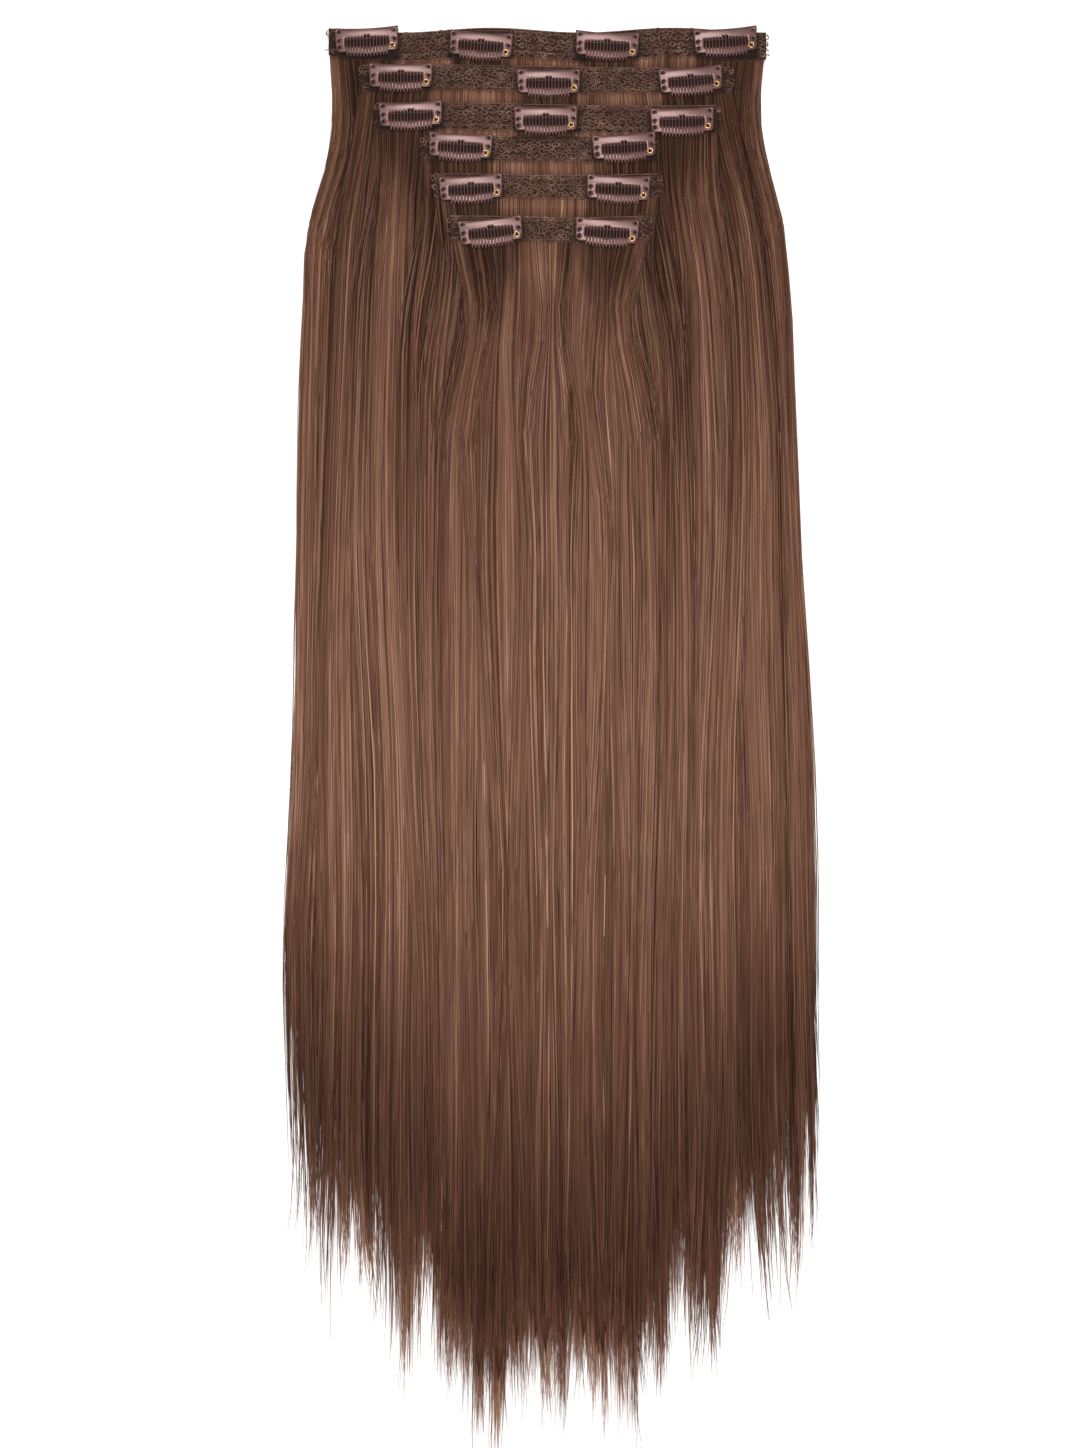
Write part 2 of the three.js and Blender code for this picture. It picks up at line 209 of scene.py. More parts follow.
PLATE_DOME = 0.8  # rise of the plate's middle
VISIBLE_BOW = 0.5  # bow of the window's lower edge
BAND_DOME = 0.2  # rise of the band above the window
VISIBLE_BORE = 1.8
EDGE_ROUND = 0.13
TOOTH_PITCH = (TOOTHED_WIDTH - 0.8) / (TOOTH_COUNT - 1)

BANDS = [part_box(f"weft{n}_band") for n in range(1, 7)]
HAIRS = [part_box(f"weft{n}_hair") for n in range(1, 7)]
PITCH = BANDS[1][0].z - BANDS[0][0].z
CLIPS = {joint["name"].removesuffix("_snap"): joint for joint in frame["joints"]}


def waves(rng, count, across, along):
    """A smooth random function of two numbers, from sines with up to that many turns per unit."""
    turns = np.stack([rng.uniform(-across, across, count), rng.uniform(-along, along, count)])
    start = rng.uniform(0, 2 * np.pi, count)
    return lambda u, s: np.sin(2 * np.pi * (u[..., None] * turns[0] + s[..., None] * turns[1])
                               + start).mean(-1) * math.sqrt(count) * 0.7


def smoothstep(x):
    x = np.clip(x, 0, 1)
    return x * x * (3 - 2 * x)


class Layer:
    """One weft's hair: where a share across and a distance along it lie."""

    def __init__(self, index):
        band_low, band_high = BANDS[index]
        hair_low, hair_high = HAIRS[index]
        self.index = index
        self.row = WEFTS[index]
        self.name = f"weft{index + 1}"
        self.left, self.right = band_low.x, band_high.x
        self.spread_left, self.spread_right = hair_low.x, hair_high.x
        self.top = hair_high.y + ROOT_INSET - TRACK_WAVE * self.row["wave"]
        self.rng = np.random.default_rng(SEED + index)
        self.sway = waves(self.rng, 7, 5, 4)
        self.ripple = waves(self.rng, 9, 34, 7)
        self.fold = waves(self.rng, 6, 4, 10)
        self.relief = waves(self.rng, 6, 9, 9)
        self.tone = waves(self.rng, 10, 42, 1.5)
        self.broad_tone = waves(self.rng, 6, 9, 1.2)
        self.fine_tone = waves(self.rng, 12, 160, 3)
        wisps = max(6, round((self.spread_right - self.spread_left) / WISP_PITCH))
        edges = np.linspace(0, 1, wisps + 1)
        edges[1:-1] += self.rng.uniform(-0.3, 0.3, wisps - 1) / wisps
        self.wisp_edges = edges
        self.wisp_reach = self.rng.uniform(-0.7, 0.5, wisps) * WISP_SCATTER
        tufts = round((self.spread_right - self.spread_left) / TUFT_PITCH)
        self.tuft_edges = np.linspace(0, 1, tufts + 1)
        self.tuft_edges[1:-1] += self.rng.uniform(-0.4, 0.4, tufts - 1) / tufts
        self.tuft_reach = self.rng.uniform(-1, 0.25, tufts) * TUFT_SCATTER
        self.clips = np.array([joint["pos_m"][0] for name, joint in CLIPS.items() if name.startswith(self.name)])

    def track(self, u):
        return self.top + self.row["wave"] * TRACK_WAVE * np.sin(2 * np.pi * self.row["waves"] * (u + 0.15))

    def wisp(self, u):
        return np.clip(np.searchsorted(self.wisp_edges, u, side="right") - 1, 0, len(self.wisp_reach) - 1)

    def tuft(self, u):
        return np.clip(np.searchsorted(self.tuft_edges, u, side="right") - 1, 0, len(self.tuft_reach) - 1)

    def reach(self, u):
        """How far the longest strands go there."""
        length = HAIR_LENGTH + self.row["longer"] - self.row["rise"] * np.abs(2 * u - 1) ** 6
        notch = LOCK_NOTCH * (1 - np.abs(np.sin(np.pi * u * self.row["locks"]))) ** 1.5
        x = self.spread_left + (self.spread_right - self.spread_left) * u
        for change in TIP_CHANGES:
            length = length + change["longer"] * np.exp(-((x - change["x"]) / change["width"]) ** 2)
        return length + self.wisp_reach[self.wisp(u)] - notch

    def scatter(self, u):
        """How much the strands' ends differ there."""
        return TIP_SCATTER * (1 + SIDE_SCATTER * np.abs(2 * u - 1) ** 10)

    def ends(self, u):
        """Where single strands end: few of them reach the tips."""
        short = self.scatter(u) * self.rng.uniform(0, 1, len(u)) ** (1 / TIP_THINNING)
        return self.reach(u) + self.tuft_reach[self.tuft(u)] - short

    def nearest_clip(self, x):
        return self.clips[np.abs(x[..., None] - self.clips).argmin(-1)]

    def place(self, u, s):
        """x, y, and the layer's lower and upper height there."""
        share = s / HAIR_LENGTH
        rows = OTHER_FLARE if self.index else FIRST_FLARE
        places = [row["along"] for row in rows]
        left = self.left + (self.spread_left - self.left) * np.interp(share, places, [r["left"] for r in rows])
        right = self.right + (self.spread_right - self.right) * np.interp(share, places, [r["right"] for r in rows])
        x = left + (right - left) * u
        bulge = self.row["bulge"] * smoothstep(s / BULGE_DEPTH) * (1 - smoothstep((s - 0.16) / 0.3))
        x = x + bulge * (2 * u - 1)
        drawn = smoothstep(s / PINCH_DEPTH) * (1 - smoothstep((s - PINCH_DEPTH) / (1.5 * PINCH_DEPTH)))
        x = x - self.row["waist"] * (2 * u - 1) * drawn
        near = self.nearest_clip(x)
        x = x + (near - x) * CLIP_PINCH * np.exp(-((near - x) / (14 * MM)) ** 2) * drawn
        fade = np.clip(1 - share / 0.1, 0, 1)
        y = self.top + (self.track(u) - self.top) * fade - s
        past = np.clip((PILE_THINS - y) / THINNING_LENGTH, 0, 1.05)
        pitch = PITCH + (TIP_THICKNESS - HAIR_THICKNESS) * past
        low = self.index * pitch
        crest = GROOVE_SHARE + (1 - GROOVE_SHARE) * np.abs(np.sin(np.pi * u * self.row["locks"]))
        side = smoothstep(np.minimum(u, 1 - u) * self.row["locks"] * 2)
        body = (pitch - GAP) * (EDGE_SHARE + (crest - EDGE_SHARE) * side)
        grown = smoothstep((s - 14 * MM) / (47 * MM))
        thick = ROOT_THICKNESS + (body - ROOT_THICKNESS) * grown
        return x, y, low, low + thick


PILE_THINS = BANDS[5][1].y - HAIR_LENGTH + THINNING_LENGTH


def mesh_object(name, points, faces, smooth=True):
    """A mesh object from arrays: points (n, 3), and faces (m, 3) or (m, 4)."""
    points = np.asarray(points, np.float32).reshape(-1, 3)
    faces = np.asarray(faces, np.int32)
    mesh = bpy.data.meshes.new(name)
    mesh.vertices.add(len(points))
    mesh.vertices.foreach_set("co", points.ravel())
    mesh.loops.add(faces.size)
    mesh.loops.foreach_set("vertex_index", faces.ravel())
    mesh.polygons.add(len(faces))
    mesh.polygons.foreach_set("loop_start", np.arange(0, faces.size, faces.shape[1], dtype=np.int32))
    mesh.polygons.foreach_set("use_smooth", np.full(len(faces), smooth))
    mesh.update(calc_edges=True)
    mesh.validate()
    obj = bpy.data.objects.new(name, mesh)
    bpy.context.scene.collection.objects.link(obj)
    return obj


def add_attribute(obj, name, values):
    attribute = obj.data.attributes.new(name, "FLOAT", "POINT")
    attribute.data.foreach_set("value", np.asarray(values, np.float32).ravel())


def tubes(paths, radius, sides, closed=False, flat=1.0):
    """Points and quads of tubes. paths: (tubes, steps, 3); radius: a number or (tubes, steps); flat: height share."""
    paths = np.asarray(paths, float)
    count, steps, _ = paths.shape
    if closed:
        along = np.roll(paths, -1, 1) - np.roll(paths, 1, 1)
    else:
        along = np.gradient(paths, axis=1)
    along /= np.linalg.norm(along, axis=2, keepdims=True) + 1e-12
    up = np.where(np.abs(along[..., 2:3]) > 0.9, [[[0.0, 1.0, 0.0]]], [[[0.0, 0.0, 1.0]]])
    side = np.cross(along, up)
    side /= np.linalg.norm(side, axis=2, keepdims=True)
    lift = np.cross(side, along) * flat
    radius = np.broadcast_to(np.asarray(radius, float), (count, steps))[..., None, None]
    turn = np.arange(sides) * 2 * np.pi / sides + np.pi / 2
    ring = (side[:, :, None] * np.cos(turn)[:, None] + lift[:, :, None] * np.sin(turn)[:, None]) * radius
    points = (paths[:, :, None] + ring).reshape(-1, 3)
    tube, step, corner = np.meshgrid(np.arange(count), np.arange(steps if closed else steps - 1),
                                     np.arange(sides), indexing="ij")
    after = (step + 1) % steps
    next_corner = (corner + 1) % sides
    base = tube * steps * sides
    quads = np.stack([base + step * sides + corner, base + after * sides + corner,
                      base + after * sides + next_corner, base + step * sides + next_corner], -1).reshape(-1, 4)
    if closed:
        return points, quads
    first = np.arange(count)[:, None] * steps * sides
    ring_low = first + np.arange(sides)
    ring_high = first + (steps - 1) * sides + np.arange(sides)
    caps = []
    for k in range(1, sides - 1, 2):
        last = min(k + 2, sides - 1)
        caps.append(np.stack([ring_low[:, 0], ring_low[:, k], ring_low[:, k + 1], ring_low[:, last]], -1))
        caps.append(np.stack([ring_high[:, last], ring_high[:, k + 1], ring_high[:, k], ring_high[:, 0]], -1))
    if sides == 3:
        return points, quads
    return points, np.concatenate([quads] + caps)


def joined(parts):
    """Several (points, faces) as one."""
    points, faces, start = [], [], 0
    for part_points, part_faces in parts:
        points.append(part_points)
        faces.append(np.asarray(part_faces) + start)
        start += len(part_points)
    return np.concatenate(points), np.concatenate(faces)


# Materials
def new_material(name, roughness, metallic=0.0, specular=0.5):
    material = bpy.data.materials.new(name)
    material.use_nodes = True
    shader = material.node_tree.nodes["Principled BSDF"]
    shader.inputs["Roughness"].default_value = roughness
    shader.inputs["Metallic"].default_value = metallic
    shader.inputs["Specular IOR Level"].default_value = specular
    return material, material.node_tree, shader


def srgb(red, green, blue):
    """Linear colour of three 8-bit values."""
    channels = []
    for value in (red, green, blue):
        share = value / 255
        channels.append(share / 12.92 if share <= 0.04045 else ((share + 0.055) / 1.055) ** 2.4)
    return (*channels, 1.0)


def add_ramp(tree, factor, stops):
    ramp = tree.nodes.new("ShaderNodeValToRGB")
    elements = ramp.color_ramp.elements
    while len(elements) < len(stops):
        elements.new(0.5)
    for element, (place, colour) in zip(elements, stops):
        element.position = place
        element.color = colour
    tree.links.new(factor, ramp.inputs["Fac"])
    return ramp.outputs["Color"]


def add_noise(tree, vector, scale, detail=3.0, roughness=0.5):
    noise = tree.nodes.new("ShaderNodeTexNoise")
    noise.inputs["Scale"].default_value = scale
    noise.inputs["Detail"].default_value = detail
    noise.inputs["Roughness"].default_value = roughness
    tree.links.new(vector, noise.inputs["Vector"])
    return noise.outputs["Fac"]


def add_painted_shade(tree, colour, share):
    """The colour with painted shade: darker where the shaded attribute is high."""
    shaded = tree.nodes.new("ShaderNodeAttribute")
    shaded.attribute_name = "shaded"
    mix = tree.nodes.new("ShaderNodeMix")
    mix.data_type = "RGBA"
    mix.inputs["B"].default_value = srgb(22, 12, 9)
    tree.links.new(add_math(tree, "MULTIPLY", shaded.outputs["Fac"], share), mix.inputs["Factor"])
    tree.links.new(colour, mix.inputs["A"])
    return mix.outputs["Result"]


def object_vector(tree, scale):
    coordinates = tree.nodes.new("ShaderNodeTexCoord")
    mapping = tree.nodes.new("ShaderNodeMapping")
    mapping.inputs["Scale"].default_value = scale
    tree.links.new(coordinates.outputs["Object"], mapping.inputs["Vector"])
    return mapping.outputs["Vector"]


def add_math(tree, operation, first, second):
    node = tree.nodes.new("ShaderNodeMath")
    node.operation = operation
    for socket, value in zip(node.inputs, (first, second)):
        if isinstance(value, (int, float)):
            socket.default_value = value
        else:
            tree.links.new(value, socket)
    return node.outputs[0]


def add_bump(tree, shader, height, distance, strength=1.0):
    bump = tree.nodes.new("ShaderNodeBump")
    bump.inputs["Distance"].default_value = distance
    bump.inputs["Strength"].default_value = strength
    tree.links.new(height, bump.inputs["Height"])
    tree.links.new(bump.outputs["Normal"], shader.inputs["Normal"])


HAIR_GLOSS = srgb(205, 158, 132)
HAIR_DARK = srgb(34, 19, 13)
HAIR_BROWN = srgb(80, 51, 39)
HAIR_WARM = srgb(106, 73, 58)
HAIR_LIGHT = srgb(168, 130, 108)


def hair_material():
    """Strands: each has its own tone, with painted light and shade added in the shade attribute, and fine changes
    along it.
    """
    material, tree, shader = new_material("hair_strand", 0.42, specular=0.5)
    shader.inputs["Specular Tint"].default_value = HAIR_GLOSS
    shade = tree.nodes.new("ShaderNodeAttribute")
    shade.attribute_name = "shade"
    along = add_noise(tree, object_vector(tree, (500, 40, 300)), 1.0, 2.0)
    value = add_math(tree, "ADD", shade.outputs["Fac"], add_math(tree, "MULTIPLY", along, 0.2))
    colour = add_ramp(tree, value, [(0.12, HAIR_DARK), (0.45, HAIR_BROWN), (0.7, HAIR_WARM), (1.0, HAIR_LIGHT)])
    tree.links.new(colour, shader.inputs["Base Color"])
    return material


def mass_material():
    """The body of a layer under its strands: fine streaks that follow the hair."""
    material, tree, shader = new_material("hair_mass", 0.55, specular=0.3)
    shader.inputs["Specular Tint"].default_value = HAIR_GLOSS
    across = tree.nodes.new("ShaderNodeAttribute")
    across.attribute_name = "across"
    along = tree.nodes.new("ShaderNodeAttribute")
    along.attribute_name = "along"
    both = tree.nodes.new("ShaderNodeCombineXYZ")
    tree.links.new(across.outputs["Fac"], both.inputs["X"])
    tree.links.new(along.outputs["Fac"], both.inputs["Y"])
    stretch = tree.nodes.new("ShaderNodeMapping")
    stretch.inputs["Scale"].default_value = (1600, 14, 1)
    tree.links.new(both.outputs["Vector"], stretch.inputs["Vector"])
    streaks = add_noise(tree, stretch.outputs["Vector"], 1.0, 5.0, 0.6)
    colour = add_ramp(tree, streaks, [(0.3, HAIR_DARK), (0.52, HAIR_BROWN), (0.75, HAIR_WARM)])
    tree.links.new(colour, shader.inputs["Base Color"])
    add_bump(tree, shader, streaks, 0.4 * MM)
    return material


def lace_material():
    """Cotton thread with a twisted grain."""
    material, tree, shader = new_material("lace_thread", 0.8, specular=0.25)
    grain = add_noise(tree, object_vector(tree, (2600, 2600, 2600)), 1.0, 2.0)
    patches = add_noise(tree, object_vector(tree, (160, 160, 160)), 1.0, 2.0)
    value = add_math(tree, "MULTIPLY", patches, 0.7)
    value = add_math(tree, "ADD", value, add_math(tree, "MULTIPLY", grain, 0.5))
    colour = add_ramp(tree, value, [(0.3, srgb(66, 43, 34)), (0.6, srgb(106, 76, 63)), (1.0, srgb(168, 132, 112))])
    # painted shade around and under the clips
    tree.links.new(add_painted_shade(tree, colour, 0.8), shader.inputs["Base Color"])
    add_bump(tree, shader, grain, 0.1 * MM)
    return material


def sewing_material():
    """Dark sewing thread with a fine grain."""
    material, tree, shader = new_material("sewing_thread", 0.7, specular=0.3)
    grain = add_noise(tree, object_vector(tree, (2600, 2600, 2600)), 1.0, 2.0)
    colour = add_ramp(tree, grain, [(0.3, srgb(38, 21, 18)), (0.7, srgb(66, 42, 36))])
    tree.links.new(colour, shader.inputs["Base Color"])
    add_bump(tree, shader, grain, 0.1 * MM)
    return material


def ground_material():
    """The lace's fine net, with its woven mesh in the relief."""
    material, tree, shader = new_material("lace_ground", 0.9, specular=0.2)
    vector = object_vector(tree, (1, 1, 1))
    cells = tree.nodes.new("ShaderNodeTexVoronoi")
    cells.feature = "DISTANCE_TO_EDGE"
    cells.inputs["Scale"].default_value = 900
    tree.links.new(vector, cells.inputs["Vector"])
    colour = add_ramp(tree, cells.outputs["Distance"],
                      [(0.0, srgb(62, 41, 33)), (0.12, srgb(42, 27, 21)), (0.3, srgb(26, 15, 12))])
    # painted shade around and under the clips
    tree.links.new(add_painted_shade(tree, colour, 0.8), shader.inputs["Base Color"])
    add_bump(tree, shader, cells.outputs["Distance"], -0.3 * MM)
    return material


def paint_material():
    """Satin paint on pressed steel, with a little orange peel and uneven gloss."""
    material, tree, shader = new_material("clip_paint", 0.3, specular=0.34)
    shader.inputs["Specular Tint"].default_value = srgb(255, 218, 212)
    vector = object_vector(tree, (1, 1, 1))
    patches = add_noise(tree, vector, 120, 3.0)
    colour = add_ramp(tree, patches, [(0.3, srgb(78, 53, 50)), (0.7, srgb(95, 67, 64))])
    tree.links.new(colour, shader.inputs["Base Color"])
    gloss = add_math(tree, "ADD", add_math(tree, "MULTIPLY", patches, 0.14), 0.21)
    tree.links.new(gloss, shader.inputs["Roughness"])
    add_bump(tree, shader, add_noise(tree, vector, 2600, 2.0), 0.02 * MM, 0.6)
    return material


def brass_material():
    material, tree, shader = new_material("eyelet_brass", 0.28, metallic=1.0)
    patches = add_noise(tree, object_vector(tree, (1, 1, 1)), 1500, 2.0)
    colour = add_ramp(tree, patches, [(0.3, srgb(150, 112, 66)), (0.7, srgb(194, 156, 102))])
    tree.links.new(colour, shader.inputs["Base Color"])
    add_bump(tree, shader, patches, 0.02 * MM, 0.5)
    return material


def floor_material():
    material, tree, shader = new_material("pale_floor", 0.9, specular=0.1)
    grain = add_noise(tree, object_vector(tree, (1, 1, 1)), 40, 2.0)
    colour = add_ramp(tree, grain, [(0.0, (0.93, 0.93, 0.935, 1)), (1.0, (0.95, 0.95, 0.95, 1))])
    tree.links.new(colour, shader.inputs["Base Color"])
    return material


def finish_piece(obj, material, body="wefts", nodes=()):
    """Gives a piece its material and its body, and hides the solids of the nodes that it stands for."""
    obj.data.materials.append(material)
    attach(obj, body)
    if nodes:
        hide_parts(*nodes)
    return obj


# Hair
def hair_mass(layer, material):
    """The closed body of a layer, whose end runs out in a finger for each wisp."""
    edges = layer.wisp_edges
    middles = (edges[:-1] + edges[1:]) / 2
    columns = np.sort(np.concatenate([edges, middles, (edges[:-1] + middles) / 2, (edges[1:] + middles) / 2]))
    columns = np.clip(columns, 0.004, 0.996)
    nearness = 1 - np.abs(columns - middles[layer.wisp(columns)]) / (np.diff(edges)[layer.wisp(columns)] / 2)
    ends = layer.reach(columns) - layer.scatter(columns) * (1.1 - 0.4 * nearness)
    rows = np.concatenate([np.linspace(0, 0.14, 8), np.linspace(0.2, 1, 20)])
    s = ROOT_INSET + rows[:, None] * (ends - ROOT_INSET)
    u = np.broadcast_to(columns, s.shape)
    x, y, low, high = layer.place(u, s)
    sunk = 0.35 * MM
    thin = 1 - 0.8 * smoothstep((rows[:, None] - 0.86) / 0.14)
    high = low + np.maximum((high - low - sunk) * thin, 0.12 * MM)
    high = high + 0.12 * MM * layer.ripple(u, s) * thin
    high = np.maximum(high, low + 0.1 * MM)
    lower = np.stack([x, y, low], -1).reshape(-1, 3)
    upper = np.stack([x, y, high], -1).reshape(-1, 3)
    many, wide = s.shape
    index = np.arange(many * wide).reshape(many, wide)
    a, b, c, d = index[:-1, :-1], index[:-1, 1:], index[1:, 1:], index[1:, :-1]
    count = many * wide
    quads = [np.stack([a, b, c, d], -1).reshape(-1, 4), np.stack([a, d, c, b], -1).reshape(-1, 4) + count]

    def wall(line):
        one, two = line[:-1], line[1:]
        quads.append(np.stack([one, one + count, two + count, two], -1))
    wall(index[0])
    wall(index[-1, ::-1])
    wall(index[::-1, 0])
    wall(index[:, -1])
    obj = mesh_object(f"{layer.name}_hair_mass", np.concatenate([lower, upper]), np.concatenate(quads))
    add_attribute(obj, "across", np.tile(x.ravel(), 2))
    add_attribute(obj, "along", np.tile(s.ravel(), 2))
    return finish_piece(obj, material, nodes=[f"{layer.name}_hair"])


def ribbons(paths, widths, roll):
    """Flat strands: paths (strands, steps, 3), widths and roll (strands, steps). Gives points and quads."""
    along = np.gradient(paths, axis=1)
    along /= np.linalg.norm(along, axis=2, keepdims=True) + 1e-12
    side = np.cross(along, [0.0, 0.0, 1.0])
    side /= np.linalg.norm(side, axis=2, keepdims=True) + 1e-12
    lift = np.cross(side, along)
    half = (side * np.cos(roll)[..., None] + lift * np.sin(roll)[..., None]) * widths[..., None] / 2
    points = np.stack([paths - half, paths + half], 2)
    count, steps = widths.shape
    first = (np.arange(count)[:, None] * steps + np.arange(steps - 1)) * 2
    quads = np.stack([first, first + 1, first + 3, first + 2], -1)
    return points.reshape(-1, 3), quads.reshape(-1, 4)


def strand_set(layer, u, start, end, places):
    """Ribbons of strands that begin and end at those distances from the track."""
    rng = layer.rng
    count = len(u)
    s = start[:, None] + (end - start)[:, None] * np.array(places)
    across = np.broadcast_to(u[:, None], s.shape)
    wisp = layer.wisp(u)
    middle = ((layer.wisp_edges[:-1] + layer.wisp_edges[1:]) / 2)[wisp][:, None]
    lock = (np.floor(u * layer.row["locks"]) + 0.5)[:, None] / layer.row["locks"]
    reach = layer.reach(u)[:, None]
    tuft = layer.tuft(u)
    tuft_middle = ((layer.tuft_edges[:-1] + layer.tuft_edges[1:]) / 2)[tuft][:, None]
    gather = smoothstep((s - (reach - WISP_GATHER_LENGTH)) / WISP_GATHER_LENGTH)
    close = smoothstep((s - (reach - TUFT_GATHER_LENGTH)) / TUFT_GATHER_LENGTH)
    tightness = rng.uniform(0.5, 0.85, len(layer.tuft_reach))[tuft][:, None]
    inner = smoothstep(np.minimum(u, 1 - u) * layer.row["locks"])[:, None]
    moved = across + (lock - across) * 0.16 * inner * smoothstep((s - 0.1) / 0.45)
    folded = smoothstep(s / FOLD_DEPTH) * (1 - smoothstep((s - FOLD_DEPTH) / (3 * FOLD_DEPTH))) * inner
    parted = LOCK_PARTING * (1 + 0.8 * layer.fold(across, s + 1))
    moved = moved + (lock - across) * parted * folded
    moved = moved + (tuft_middle - across) * close * rng.uniform(0.75, 1.0, count)[:, None]
    moved = moved + (middle - moved) * gather * tightness
    x, y, low, high = layer.place(moved, s)
    free = smoothstep((s - 16 * MM) / (90 * MM))
    x = x + 3.4 * MM * folded * layer.fold(across, s)
    x = x + free * (2.2 * MM * layer.sway(across, s) + 0.5 * MM * layer.ripple(across, s))
    own = waves(rng, 3, 400, 5)
    drift = rng.normal(0, 1.5 * MM, count)[:, None] * s / HAIR_LENGTH
    x = x + free * (0.6 * MM * own(across, s) + drift)
    border = np.abs(2 * u - 1)[:, None] ** 12
    x = x + free * border * rng.normal(0, SIDE_LOOSENESS, count)[:, None] * (0 if layer.index == 0 else 1)
    tuft_bend = rng.normal(0, TIP_BEND, len(layer.tuft_reach))[tuft][:, None]
    last = np.clip((s - (end[:, None] - 55 * MM)) / (55 * MM), 0, 1) ** 2
    x = x + last * (tuft_bend * close + rng.normal(0, 0.8 * MM, count)[:, None])
    depth = rng.uniform(-0.55, 0.4, count)[:, None]
    room = np.clip((high - low) / HAIR_THICKNESS, 0.2, 1)
    z = high + depth * MM * room * (0.35 + 0.65 * free) + 0.3 * MM * free * layer.ripple(across, s)
    z = z + 0.7 * MM * folded * layer.relief(across, s)
    droop = smoothstep((s - (reach - TIP_DROOP)) / TIP_DROOP)
    z = np.maximum(z * (1 - 0.85 * droop), 0.15 * MM)
    widths = rng.uniform(*STRAND_WIDTH, count)[:, None] * np.ones_like(s)
    taper = np.clip((end[:, None] - s) / (40 * MM), 0, 1) ** 0.6
    widths = widths * (0.12 + 0.88 * taper)
    roll = rng.uniform(-0.6, 0.6, count)[:, None] + 0.5 * own(across, s * 0.6)
    # the strand's own colour tone; painted light and shade are added to it below
    tone = 0.42 + 0.045 * layer.tone(across, s * 0) + 0.045 * layer.fine_tone(across, s)
    tone = tone + 0.06 * layer.broad_tone(across, s)
    kind = rng.uniform(0, 1, count)
    own_tone = 0.12 * rng.normal(0, 1, count) + 0.2 * (kind < LIGHT_STRANDS) - 0.24 * (kind > 1 - DARK_STRANDS)
    tone = tone + own_tone[:, None] + painted_light_and_shade(layer, x, y, s, across)
    # painted light on the thin ends
    tone = tone + TIP_PAINTED_LIGHT * np.clip((s - (reach - 80 * MM)) / (60 * MM), 0, 1)
    # painted shade on a higher layer's sides near its track
    if layer.index:
        tone = tone - SIDE_PAINTED_SHADE * border * np.exp(-(s / (150 * MM)) ** 2)
    points, quads = ribbons(np.stack([x, y, z], -1), widths, roll)
    return points, quads, np.repeat(tone.ravel(), 2)


def painted_light_and_shade(layer, x, y, s, across):
    """Painted light and shade on the hair: a painted sheen in its middle stretch, painted shade lower down, painted
    shadow below the clips, painted shade between the locks near the track, beside a higher layer and in the highest
    layer's parting, and painted light on patches between the clips.
    """
    # painted shade in the hair's lower stretch, where the sheen falls off
    lower = 0.27 * smoothstep((s - 0.4) / 0.12) * (1 - 0.7 * smoothstep((s - 0.53) / 0.06))
    # painted sheen in the middle stretch, less the painted shade lower down
    tone = PAINTED_SHEEN * np.exp(-((y - SHEEN_PLACE) / SHEEN_REACH) ** 2) - lower
    off = np.abs(x - layer.nearest_clip(x))
    # painted shadow on the hair below the clips
    below = 1 - smoothstep((s - 10 * MM) / (62 * MM))
    tone = tone - 0.4 * below * (1 - smoothstep((off - 12 * MM * below) / (5 * MM)))
    # painted shade between the locks near the track
    painted_valley_shade = 1 - np.abs(np.sin(np.pi * across * layer.row["locks"])) ** 0.6
    tone = tone - 0.2 * painted_valley_shade * np.exp(-s / (130 * MM))
    # painted light on the hair between the clips, just below the track
    painted_patch_light = np.exp(-((s - 22 * MM) / (9 * MM)) ** 2) * smoothstep((off - 12 * MM) / (6 * MM))
    tone = tone + 0.2 * painted_patch_light
    # painted shade on the hair beside a higher layer's sides, near its track
    if layer.index + 1 < len(LAYERS):
        above = LAYERS[layer.index + 1]
        there = np.clip(above.top - y, 0, HAIR_LENGTH)
        low_side = above.place(np.zeros_like(there), there)[0]
        high_side = above.place(np.ones_like(there), there)[0]
        gap = np.maximum(low_side - x, x - high_side)
        fade = np.where(above.top > y, np.exp(-(there / (120 * MM)) ** 2), 0)
        tone = tone - 0.42 * fade * np.exp(-(np.maximum(gap, 0) / (6 * MM)) ** 2)
    else:
        # painted shade in the highest layer's parting
        painted_parting_shade = np.exp(-((x - PARTING_SHADE_X) / PARTING_SHADE_WIDTH) ** 2) * (1 - smoothstep(s / PARTING_SHADE_LENGTH))
        tone = tone - 0.5 * painted_parting_shade
    return tone


def covered(layer, u):
    """Whether a higher layer lies over that strand."""
    if layer.index + 1 == len(LAYERS):
        return np.zeros(len(u), bool)
    above = LAYERS[layer.index + 1]
    half_way = np.full(len(u), 0.5 * HAIR_LENGTH)
    x = layer.place(u, half_way)[0]
    near = layer.place(u, np.full(len(u), 0.12 * HAIR_LENGTH))[0]
    ends = [above.place(np.array([edge]), half_way[:1])[0][0] for edge in (0.0, 1.0)]
    tops = [above.place(np.array([edge]), half_way[:1] * 0.24)[0][0] for edge in (0.0, 1.0)]
    margin = 5 * MM
    inside = (x > ends[0] + margin) & (x < ends[1] - margin)
    return inside & (near > tops[0] + margin) & (near < tops[1] - margin)


